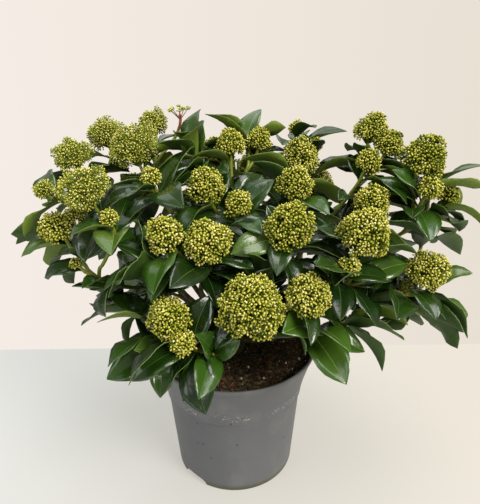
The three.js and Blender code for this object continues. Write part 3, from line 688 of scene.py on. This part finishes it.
CRUMB_FINISHES = [
    shaded(name, crumbly(scale, 4, 0.0008, ((0.35, dark), (0.65, pale))), roughness, specular)
    for name, dark, pale, scale, roughness, specular in (
        ("peat_crumb", (30, 25, 19), (98, 76, 58), 420, 0.95, 0.2),
        ("bark_crumb", (112, 66, 46), (164, 108, 76), 420, 0.9, 0.2),
        ("perlite", (232, 229, 224), (252, 250, 246), 700, 0.9, 0.3))]
PERLITE = 2

# ---- leaves

# Along a leaf: share of the length, and half width as a share of the greatest.
STATIONS, WIDTHS = np.array([
    [0, 0.05, 0.11, 0.20, 0.31, 0.43, 0.55, 0.67, 0.78, 0.88, 0.95, 1],
    [0.07, 0.08, 0.25, 0.62, 0.87, 0.99, 1, 0.93, 0.76, 0.48, 0.22, 0.02]])[..., None]
RIB_HALF = 0.75  # half width of the midrib at its foot
# Across its top: share of the half width, and on which side of the midrib.
MID_BLADE = 0.52
ACROSS = np.array([-1, -MID_BLADE, 0, 0, MID_BLADE, 1])
RIB_SIGN = np.array([0, 0, -1, 1, 0, 0])
RING = 11  # points round the leaf at each station, 6 across the top and 5 below
TOP, MIDRIB, BELOW, EDGE = range(4)


def leaf_faces():
    """Corner numbers of a leaf's quads, which part each of them is, and the two end caps."""
    quads, parts = [], []
    last = RING * (len(STATIONS) - 1)
    for a in range(0, last, RING):
        b = a + RING
        quads += [(a + j, a + j + 1, b + j + 1, b + j) for j in range(5)]
        quads += [(a + j, b + j, b + j + 1, a + j + 1) for j in range(6, 10)]
        quads += [(a + 6, a, b, b + 6), (a + 5, a + 10, b + 10, b + 5)]
        parts += [TOP, TOP, MIDRIB, TOP, TOP] + [BELOW] * 4 + [EDGE] * 2
    caps = [(0, 6, 7), (0, 7, 1), (1, 7, 8), (1, 8, 2), (2, 8, 3), (3, 8, 4), (4, 8, 9),
            (4, 9, 5), (5, 9, 10)]
    caps += [tuple(last + corner for corner in reversed(face)) for face in caps]
    return np.array(quads), np.array(parts), np.array(caps)


LEAF_QUADS, LEAF_PARTS, LEAF_CAPS = leaf_faces()


def leaf_points(leaf):
    upright, hanging = max(0, leaf.along[2] - 0.55), max(0, -leaf.along[2] - 0.15)
    length = leaf.length * (1 - 0.5 * upright - 0.3 * hanging)
    half = leaf.width * VISIBLE_WIDTH / 2
    dice = leaf.dice
    droop = LEAF_DROOP + 0.16 * (dice(20) - 0.45) - 0.04 * leaf.lower
    arch = LEAF_ARCH + 0.03 * (dice(21) - 0.5)
    # the midrib rises by a s - b s s and sways to one side
    a, b = 4 * arch + droop, 4 * arch + 2 * droop
    s = STATIONS
    sway = 0.16 * (dice(22) - 0.5)
    middle = leaf.root + np.hstack([s, a * s - b * s * s, sway * s * s]) * length @ leaf.frame
    tangent = unit(np.hstack([s * 0 + 1, a - 2 * b * s, 2 * sway * s]) @ leaf.frame)
    normal = unit(leaf.upper - tangent * (tangent @ leaf.upper)[:, None])
    side = np.cross(tangent, normal)
    twist = radians(110) * (dice(23) - 0.5) * (s - 0.25)
    c, d = np.cos(twist), np.sin(twist)
    side, normal = side * c + normal * d, normal * c - side * d
    # the blade folds along the midrib, curls at its edges, waves along them and puckers
    widths = WIDTHS * half
    fold, curl = 0.16 + 0.40 * dice(24) ** 1.3, -0.24 + 0.3 * dice(25)
    thick = np.where(s < 0.08, 1.5, np.where(s > 0.9, 0.4, 0.55))
    rib = np.minimum(RIB_HALF * (1 - 0.75 * s), widths * 0.6)
    v, off = ACROSS, abs(ACROSS)
    wave = 0.13 * half * (0.3 + dice(26)) * np.sin(s * 11 + 6.3 * dice(27))
    pucker = 0.22 * (-1) ** np.arange(1, len(s) + 1)[:, None]
    rise = widths * (fold * off + curl * (v * v - off)) + WIDTHS * (
        (off == 1) * np.sign(v) * wave + (off == MID_BLADE) * pucker - 0.25 * (RIB_SIGN != 0))
    top = (middle[:, None] + side[:, None] * (v * widths + RIB_SIGN * rib)[..., None]
           + normal[:, None] * (rise + thick / 2)[..., None])
    keel = np.minimum(0.7, widths) * (1 - 0.5 * s)
    low = top[:, [0, 1, 2, 4, 5]] - normal[:, None] * thick[..., None]
    low[:, 2] = middle - normal * (thick / 2 + keel)
    return np.concatenate([top, low], 1)


def leaf_tone(leaf):
    """The leaf's upper side: its spray's shade, lighter high up and in the young leaves."""
    if leaf.dice(32) > 0.955:
        return YOUNG_SLOT
    height = np.clip((leaf.root[2] - 300) / 100, -0.5, 1)
    young = (0.4 if leaf.k < 2 else 0) + (1.4 if leaf.shoot.size == 0 and leaf.k < 5 else 0)
    tone = 0.15 + 1.4 * leaf.shoot.dice(0, 30) + 1.1 * (leaf.dice(31) - 0.5) + 0.6 * height + young
    return int(np.clip(tone, 0, YOUNG_SLOT))


def add_leaf(piece, leaf):
    tone = leaf_tone(leaf)
    pale = tone >= 3
    pale_under = pale or (leaf.root[2] > 380 and leaf.dice(33) > 0.4)
    slots = np.array([tone, RIB_SLOT + pale, UNDER_SLOT + pale_under, MARGIN_SLOT])
    piece.add(leaf_points(leaf), (LEAF_QUADS, slots[LEAF_PARTS], LEAF_PARTS != EDGE),
              (LEAF_CAPS, MARGIN_SLOT, True))


# ---- blossom

DOME_LOW = -0.6  # cosine of the lowest cluster's angle from the head's top
CLUSTER_AREA = 92  # square millimetres of dome for each cluster of buds
CLUSTER_SINK = 5.8  # from the dome down to a cluster's middle
BUD_SPREAD = 4.6
BUD_RADIUS, BUD_LENGTH, BUD_SIDES = 1.35, 1.85, 5
# How much a head narrows upwards, how tall it is for its width, how lumpy, uneven and dense, its
# stalks' slot, and the buds of its clusters: how many, how large and how far out.
HEAD_FORM = (0.24, 1.08, 0.26, 0.03, 1, PEDICEL_SLOT, (8, 1, 1))
LOOSE_FORM = (-0.06, 0.98, 0.32, 0.07, 0.86, PEDICEL_SLOT + 2, (10, 0.8, 1.15))
PEDICEL_RADIUS, BRANCH_RADIUS = 0.42, 0.8
# Rounds of clusters: share of the way out, share of their number, and how much darker the buds are,
# painted shade deep inside the head.
ROUNDS = ((1, 1, 0), (0.68, 0.42, 1.3))
# The light, open heads on the left have finer buds on longer stalks.
LOOSE = {*(("left_crown", i) for i in range(4)), ("upper_left", 0), ("upper_left", 1),
         ("left_side", 1)}
# Buds of these masses are darker by the given amount: painted shade on the heads at the right and
# back of the crown.
PAINTED_SHADE_BY_MASS = {"right_crown": 0.5, "far_right": 0.5, "back_right": 0.3}  # how much darker the buds
SPRIG, SPRIG_BRANCHES, SPRIG_CLUSTER = ("upper_left", 2), 7, (7, 0.85, 0.7)


def bud_mesh():
    """A bud with its faces: the flat foot, the sides, then those round its tip."""
    n = BUD_SIDES

    def ring(turn, radius, height):
        return np.c_[radius * circle(turns(n) + turn), np.full(n, height)]

    foot, sides, crown = [(0, i + 1, i) for i in range(1, n - 1)], [], []
    for i in range(n):
        j = (i + 1) % n
        sides += [(i, j, n + i), (j, n + j, n + i)]
        crown.append((n + i, n + j, 2 * n))
    points = [ring(0, 0.82, -0.5), ring(pi / n, 0.86, 0.36), [[0, 0, 1]]]
    return (np.concatenate(points) * (BUD_RADIUS, BUD_RADIUS, BUD_LENGTH),
            np.array(foot + sides + crown))


BUD_POINTS, BUD_FACES = bud_mesh()
ROD_FACES = np.array([(0, 1, 4, 3), (1, 2, 5, 4), (2, 0, 3, 5)])


def add_copies(piece, points, faces, slots):
    """Many small bodies with the same faces; slots gives each one's materials."""
    moved = faces + np.arange(len(points))[:, None, None] * points.shape[1]
    piece.add(points, (moved.reshape(-1, faces.shape[1]), np.ravel(slots), True))


def add_buds(piece, places, directions, sizes, slots):
    """Buds whose tips are a shade paler than their sides: a painted highlight."""
    shape = BUD_POINTS @ basis(directions)
    face_slots = np.repeat(slots[:, None], len(BUD_FACES), 1)
    # the faces round each tip take the next paler shade, a painted highlight on every bud but the
    # rosy ones
    face_slots[:, -BUD_SIDES:] += (slots < ROSY_BUD - 1)[:, None]
    add_copies(piece, places[:, None] + shape * sizes[:, None, None], BUD_FACES, face_slots)


def add_rods(piece, starts, ends, radius_start, radius_end, slot):
    """Thin three-sided rods, without ends because both are sunk."""
    ring = circle(turns(3)) @ basis(unit(ends - starts))[:, :2]
    points = np.concatenate([starts[:, None] + ring * radius_start,
                             ends[:, None] + ring * radius_end], 1)
    add_copies(piece, points, ROD_FACES, np.full(len(points) * 3, slot))


def spiral(count, lowest, turn):
    """Directions on a sphere cap round +Z, evenly spread by the golden angle."""
    z = 1 - (np.arange(count) + 0.5) / count * (1 - lowest)
    phi = np.arange(count) * radians(GOLDEN_ANGLE) + turn
    return np.c_[circle(phi) * np.sqrt(1 - z * z)[:, None], z]


def add_clusters(piece, rng, centres, outward, feet, stalk, cluster, shades):
    """Clusters of buds on thin stalks. shades is how pale each cluster's buds are, 0 darkest."""
    buds, size, spread = cluster
    made = []
    for centre, way, foot, shade in zip(centres, outward, feet, shades):
        count = buds + rng.integers(-1, 2)
        local = spiral(count, 0.12, rng.uniform(0, 6)) + rng.normal(0, 0.1, (count, 3))
        ways = unit(local) @ basis(way)
        places = centre + ways * BUD_SPREAD * spread * rng.uniform(0.85, 1.12, (count, 1))
        sizes = size * rng.uniform(0.78, 1.12, count)
        tones = np.clip(np.round(shade + rng.normal(0, 0.7, count)), 0, ROSY_BUD - 2)
        slots = np.where(rng.random(count) < ROSY_SHARE, ROSY_BUD, tones)
        made.append((places, ways, sizes, slots, np.broadcast_to(foot, (count, 3))))
    places, ways, sizes, slots, roots = map(np.concatenate, zip(*made))
    add_buds(piece, places, ways, sizes, slots.astype(int))
    add_rods(piece, roots, places - ways * BUD_LENGTH * 0.4, PEDICEL_RADIUS, PEDICEL_RADIUS, stalk)


def add_head(piece, shoot, rng):
    r, axis = shoot.size / 2, shoot.direction
    form = LOOSE_FORM if shoot.key in LOOSE else HEAD_FORM
    taper, taller, lumpy, uneven, dense, stalk, cluster = form
    middle = shoot.tip + 0.80 * r * axis
    area = 2 * pi * r * r * (1 - DOME_LOW)
    seed = Vector((7.3 * shoot.number, shoot.mass.index, 0.5))
    head_shade = rng.normal(1.7, 0.15) - PAINTED_SHADE_BY_MASS.get(shoot.mass.name, 0)
    for out, share, painted_shade in ROUNDS:
        count = max(5, round(area / CLUSTER_AREA * share * dense))
        outward = unit(spiral(count, DOME_LOW, rng.uniform(0, 6)) + rng.normal(0, 0.07, (count, 3)))
        lumps = np.array([noise.noise(Vector(way * 1.4) + seed) for way in outward])
        reach = r * (0.97 + lumpy * lumps + rng.normal(0, uneven, count))
        reach = (reach - CLUSTER_SINK) * out
        shape = (1, 1, taller) - taper * outward[:, 2:] * (1, 1, 0)
        centres = middle + (outward * shape * reach[:, None]) @ basis(axis)
        outward = outward @ basis(axis)
        # branches leave the stalk lower down the lower their cluster hangs
        climb = np.clip((outward @ axis + 0.4) * 0.45, 0.05, 0.6) * 2 * r * 0.3
        feet = centres - outward * 3.4
        add_rods(piece, shoot.tip + np.outer(climb, axis), feet, BRANCH_RADIUS,
                 BRANCH_RADIUS * 0.7, stalk)
        # the inner round's buds are darker: painted shade inside the head
        shades = head_shade - painted_shade + rng.normal(0, 0.4, count)
        add_clusters(piece, rng, centres, outward, feet, stalk, cluster, shades)


def add_sprig(piece, shoot, rng):
    """A young head: a few small clusters on red branches that spread wide."""
    r, axis = shoot.size / 2, shoot.direction
    fork = shoot.tip + 0.1 * r * axis
    turn = np.arange(SPRIG_BRANCHES) * radians(GOLDEN_ANGLE)
    wide = np.where(turn == 0, 0.1, rng.uniform(0.7, 1.05, SPRIG_BRANCHES))
    outward = unit(np.c_[circle(turn) * wide[:, None], np.ones(SPRIG_BRANCHES)] @ basis(axis))
    centres = fork + outward * (r * rng.uniform(1.15, 1.45, SPRIG_BRANCHES))[:, None]
    feet = centres - outward * 2.6
    add_rods(piece, np.broadcast_to(fork, feet.shape), feet, 0.9, 0.6, PEDICEL_SLOT + 1)
    add_clusters(piece, rng, centres, outward, feet, PEDICEL_SLOT + 2, SPRIG_CLUSTER,
                 np.full(SPRIG_BRANCHES, 2.0))


# ---- twigs

TWIG_SIDES, RING_EVERY = 8, 5
TWIG_BASE, TWIG_TIP, LEAFY_TIP = 2.9, 1.9, 1.6
OLIVE_FROM, YOUNG_FROM = 22, 60  # along the way from the fork
STEM_RADII = (3.3, 3.1)


def add_twig(piece, shoot):
    count = max(8, int(shoot.length / RING_EVERY))
    t = np.linspace(0, 1, count)
    path = shoot.curve.points(t)
    path[0] -= shoot.curve.tangent(0) * 1.5
    rng = np.random.default_rng(7000 + 100 * shoot.mass.index + shoot.number)
    path[1:-1] += rng.normal(0, 0.35, (count - 2, 3))
    start = max(TWIG_TIP + 0.4, TWIG_BASE - 0.004 * shoot.path)
    radii = lerp(start, TWIG_TIP if shoot.size else LEAFY_TIP, t)
    for leaf in shoot.mass.leaves:
        if leaf.shoot is shoot:
            radii = radii + 0.55 * np.exp(-((t - leaf.share) * shoot.length / 2.2) ** 2)
    along = shoot.path + t[:-1] * shoot.length
    slots = np.where(along > YOUNG_FROM, 2, np.where(along > OLIVE_FROM, 1, 0))
    if shoot.key == SPRIG:
        slots = np.where(t[:-1] > 0.7, 3, slots)
    tube(piece, path, radii, TWIG_SIDES, slots)


for mass in masses:
    leaves = Piece("leaves_" + mass.name, *LEAF_FINISHES)
    twigs = Piece("twigs_" + mass.name, *TWIG_FINISHES)
    blossom = Piece("blossom_" + mass.name, *BLOSSOM_FINISHES)
    for leaf in mass.leaves:
        add_leaf(leaves, leaf)
    start = mass.stem_start - mass.heading * (GAP + 3)
    tube(twigs, [start + mass.heading * d for d in np.linspace(0, STEM_LENGTH + 5, 6)],
         np.linspace(*STEM_RADII, 6), TWIG_SIDES, 0)
    for shoot in mass.shoots:
        add_twig(twigs, shoot)
        if shoot.size > 0:
            add = add_sprig if shoot.key == SPRIG else add_head
            add(blossom, shoot, np.random.default_rng(1000 * mass.index + shoot.number))
    for piece in (leaves, twigs, blossom):
        if piece.count:
            piece.make("foliage", "foliage_" + mass.name)

# ---- bark

TRUNK_RINGS, TRUNK_SIDES = 46, 28
BOUGH_RINGS, BOUGH_SIDES = 34, 12


def relief(path, sides, scale, depth, seed):
    """How far each point of a limb's rings stands out, as a share of its radius."""
    return np.array([[1 + depth * noise.fractal(
        Vector((x * 0.02 + seed, cos(angle) * scale + z * 0.06, sin(angle) * scale + y * 0.02)),
        0.8, 2.1, 3)
        for angle in turns(sides)] for x, y, z in path])


bark = Piece("bark_limbs", BARK_FINISH)
heights = np.linspace(SOIL_TOP - 3, TRUNK_TOP + 1, TRUNK_RINGS)
above = np.maximum(heights, SOIL_TOP)
path = np.array([trunk_centre(h) for h in above])
path[:, 2] = heights
foot = np.exp((SOIL_TOP - above) / 5)
roots = 0.14 * foot[:, None] * np.cos(3 * turns(TRUNK_SIDES) + 0.7)
tube(bark, path, [trunk_radius(h) for h in above], TRUNK_SIDES, 0,
     relief(path, TRUNK_SIDES, 1.1, 0.16, 3.0) + roots)
for mass in masses:
    path = mass.bough.points(np.linspace(0, 1, BOUGH_RINGS))
    into = path[0] - unit(path[1] - path[0]) * 6
    path = np.concatenate([[into, (into + path[0]) / 2], path])
    share = np.linspace(0, 1, len(path))
    radii = lerp(BOUGH_RADIUS, BOUGH_TIP_RADIUS, share) * 0.97 + 1.6 * np.exp(-share * 16)
    tube(bark, path, radii, BOUGH_SIDES, 0, relief(path, BOUGH_SIDES, 0.9, 0.14, mass.index))
bark.make("bark", "trunk", *("bough_" + mass.name for mass in masses))

# ---- pot

POT_COLUMN = 2.0  # degrees
EDGE_EASE, EASE_POINTS = 0.9, 4
PINHOLE = 0.01  # radius that the bottom is closed up to


def arch_height(azimuth, grow):
    """Height of the arched recess at an azimuth round the pot, 0 outside it."""
    top = ARCH_HEIGHT + grow
    half = ARCH_WIDTH / 2 + grow
    for middle in ARCH_AZIMUTHS:
        off = abs((azimuth - middle + 180) % 360 - 180)
        across = sin(radians(min(off, 90))) * FOOT_RADIUS
        if across < half:
            return lerp(top * ARCH_SPRING, top, sqrt(1 - (across / half) ** 2))
    return 0


def eased(profile, corners):
    """The profile with the numbered corners rounded off."""
    made, profile = [], np.array(profile)
    for i, p in enumerate(profile):
        if i not in corners:
            made.append(p)
            continue
        before, after = (p + unit(q - p) * EDGE_EASE for q in (profile[i - 1], profile[i + 1]))
        for t in np.linspace(0, 1, EASE_POINTS):
            made.append((1 - t) ** 2 * before + 2 * t * (1 - t) * p + t * t * after)
    return made


def pot_azimuths():
    """Where the pot's columns of points stand, two of them at each edge of a recess."""
    edge = degrees(asin(ARCH_WIDTH / 2 / FOOT_RADIUS))
    edges = [middle + side + d for middle in ARCH_AZIMUTHS for side in (-edge, edge)
             for d in (-0.25, 0.25)]
    return sorted({round(float(a) % 360, 3) for a in [*np.arange(0, 360, POT_COLUMN), *edges]})


def pot_profile(azimuth):
    """Radius and height of the points of one column, from below the floor round to its top."""
    arch = arch_height(azimuth, 0)
    grown = arch_height(azimuth, POT_WALL)
    back = FOOT_RADIUS - ARCH_DEPTH

    def wall(z, rise=0, sink=0):
        """The wall at a height, or a place above it or inside it."""
        return lerp(FOOT_RADIUS, SHOULDER_RADIUS, z / SHOULDER_HEIGHT) - sink, z + rise

    ring, under, low = SHOULDER_RADIUS + STEP, RIM_RADIUS - RIM_LIP, POT_HEIGHT - RIM_DEPTH
    foot = [(PINHOLE, 0), (back - 2, 0)]
    outer = [wall(14), wall(60), (SHOULDER_RADIUS, SHOULDER_HEIGHT),
             (ring, SHOULDER_HEIGHT + 1), (ring, SHOULDER_HEIGHT + RING_HEIGHT),
             (COLLAR_RADIUS, COLLAR_HEIGHT), (under, low), (RIM_RADIUS, low + RIM_LIP),
             (RIM_RADIUS, POT_HEIGHT), (RIM_RADIUS - RIM_ROUND - POT_WALL, POT_HEIGHT),
             (under - POT_WALL, low)]
    inner = [(COLLAR_RADIUS, COLLAR_HEIGHT), (SHOULDER_RADIUS, SHOULDER_HEIGHT), wall(60), wall(20)]
    if arch:
        foot += [(back, 0.4), (back, arch - 0.4), (back + 0.4, arch), wall(arch, 0, 1),
                 wall(arch, 1)]
        inner += [wall(grown, 0.5), (back, grown), (back, POT_FLOOR + 0.5), (back - 2, POT_FLOOR)]
    else:
        foot += [(back, 0), (FOOT_RADIUS - FOOT_CHAMFER, 0), (FOOT_RADIUS - 1.2, 0.5),
                 (FOOT_RADIUS - 0.3, 1.6), wall(4)]
        inner += [wall(8), wall(5), (FOOT_RADIUS, POT_FLOOR + 0.5), (FOOT_RADIUS - 2, POT_FLOOR)]
    return [*foot, *eased(outer, {3, 4, 5, 7, 8, 9}), *((r - POT_WALL, z) for r, z in inner),
            (PINHOLE, POT_FLOOR)]


points = np.array([[polar(a, r, z) for r, z in pot_profile(a)] for a in pot_azimuths()])
columns, rows = points.shape[:2]
pot = Piece("nursery_pot", POT_FINISH)
pot.add(points.transpose(1, 0, 2), (grid_quads(rows, columns), 0, True))
pot.make("pot", "pot").data.set_sharp_from_angle(angle=radians(40))

# ---- soil

SOIL_SIDES, SOIL_SKIRT, SOIL_SINK = 210, 12, 0.6
CRUMB_REACH, TRUNK_CLEAR = 107, 19
PEAT_CRUMBS, BARK_CRUMBS, PERLITE_CRUMBS = 2600, 600, 120


def soil_place(r, angle):
    """A place at a distance and an angle round the trunk, and how high the soil is there."""
    x, y = r * sin(angle), -r * cos(angle)
    edge = max(0, (r - SOIL_CROWN_RADIUS) / (SOIL_EDGE_RADIUS - SOIL_CROWN_RADIUS))
    return x, y, lerp(SOIL_TOP, SOIL_EDGE_HEIGHT, edge) + 2.4 * noise.fractal(
        Vector((x * 0.045, y * 0.045, 0)), 0.7, 2.0, 4)


ring_radii = [*np.linspace(0.6, 108.4, 76), 109.2]
soil_points = []
for r in ring_radii:
    for angle in turns(SOIL_SIDES):
        x, y, level = soil_place(r, angle)
        level += 1.3 * noise.noise(Vector((x * 0.4, y * 0.4, 7)))
        if r == ring_radii[-1]:
            x, y, level = 0.93 * x, 0.93 * y, level - SOIL_SKIRT
        soil_points.append((x, y, level - SOIL_SINK))
quads, caps = closed_rings(len(ring_radii), SOIL_SIDES)
soil = Piece("peat_surface", SOIL_FINISH)
soil.add(soil_points + [(0, 0, SOIL_TOP), (0, 0, SOIL_TOP - 20)], (quads, 0, True), (caps, 0, True))
soil.make("soil", "soil")

crumbs = Piece("peat_crumbs", *CRUMB_FINISHES)
BLOCK = np.array([(1, 0, 0), (-1, 0, 0), (0, 1, 0), (0, -1, 0), (0, 0, 1), (0, 0, -1)])
BLOCK_FACES = np.array([(0, 2, 4), (2, 1, 4), (1, 3, 4), (3, 0, 4), (2, 0, 5), (1, 2, 5),
                        (3, 1, 5), (0, 3, 5)])
rng = np.random.default_rng(5)


def add_crumb(size, kind, long=1.0):
    r = CRUMB_REACH * sqrt(rng.random())
    x, y, level = soil_place(r, rng.uniform(0, 2 * pi))
    if hypot(x, y) < TRUNK_CLEAR:
        return
    level += -0.2 + (0.5 * size if kind == PERLITE else 0)
    turn, _ = np.linalg.qr(rng.normal(size=(3, 3)))
    turn *= np.sign(np.linalg.det(turn))
    shape = BLOCK * rng.uniform(0.6, 1.1, (6, 3)) * (long, 1, 0.8) * size
    crumbs.add(vec(x, y, level) + shape @ turn.T, (BLOCK_FACES, kind, kind == PERLITE))


for i in range(PEAT_CRUMBS):
    add_crumb(rng.uniform(0.7, 2.0) * (1.8 if i % 6 == 0 else 1), 0, rng.uniform(1, 2))
for i in range(BARK_CRUMBS):
    add_crumb(rng.uniform(0.6, 1.7) * (1.5 if i % 5 == 0 else 1), 1, rng.uniform(1, 3))
for i in range(PERLITE_CRUMBS):
    add_crumb(rng.uniform(2.2, 3.4) if i % 4 == 0 else rng.uniform(0.7, 1.5), PERLITE)
crumbs.make("soil", "soil")

# ---- floor, light and camera

FLOOR_BACK, FAR = 0.288, 4  # metres


def across(place, left, right):
    """A colour that goes from one to another along X."""
    share = share_of(node("SeparateXYZ", "X", {"Vector": place}), -0.4, 0.4)
    return mix(share, colour(*left), colour(*right))


def ground(place):
    """A pale floor that glows a little, so that the shadow on it stays light."""
    return {"Base Color": colour(142, 141, 139), "Emission Strength": 0.62,
            "Emission Color": across(place, (221, 223, 219), (230, 221, 204))}


mesh = bpy.data.meshes.new("floor")
mesh.from_pydata([(-FAR, -FAR, 0), (FAR, -FAR, 0), (FAR, FLOOR_BACK, 0), (-FAR, FLOOR_BACK, 0)],
                 [], [(0, 1, 2, 3)])
mesh.materials.append(shaded("floor", ground, 0.7, 0.1))
floor = add_object("floor", mesh)

scene = bpy.context.scene
scene.view_settings.view_transform = "Standard"
world = bpy.data.worlds.new("studio")
world.use_nodes = True
tree = world.node_tree
wall = tree.nodes["Background"]
sight = node("TexCoord", "Generated", tree=tree)
feed(wall, {"Color": across(sight, (245, 237, 229), (233, 224, 212))})
air = node("Background", 0, {"Color": colour(240, 238, 228), "Strength": 0.28}, tree)
seen = node("LightPath", "Is Camera Ray", tree=tree)
feed(tree.nodes["World Output"],
     {"Surface": node("MixShader", 0, {0: seen, 1: air, 2: wall.outputs[0]})})
scene.world = world

# far soft lamps: name, the direction they shine from, strength, spread in degrees and tint
for name, source, strength, spread, tint in (
        ("window", (0.62, -0.62, 0.75), 2.5, 28, (1, 0.95, 0.88)),
        ("ceiling", (0.1, -0.1, 1), 1.5, 40, (1, 0.99, 0.97)),
        ("side", (-1, -0.6, 0.8), 0.6, 40, (0.92, 0.96, 1)),
        ("back", (-0.3, 1, 0.9), 0.6, 60, (0.96, 0.98, 1))):
    lamp = bpy.data.lights.new(name, "SUN")
    lamp.energy, lamp.angle, lamp.color = strength, radians(spread), tint
    made = add_object(name, lamp)
    made.rotation_mode = "QUATERNION"
    made.rotation_quaternion = (-Vector(source)).to_track_quat("-Z", "Y")

CAMERA_DOWN, CAMERA_ROLL = 22.74, -0.70
camera = add_object("camera", bpy.data.cameras.new("camera"))
camera.location = (0.0111, -0.6447, 0.6076)
camera.rotation_euler = (radians(90 - CAMERA_DOWN), 0, 0)
camera.rotation_euler.rotate_axis("Z", radians(CAMERA_ROLL))
camera.data.lens = 37.14
camera.data.clip_start = 0.02
scene.camera = camera
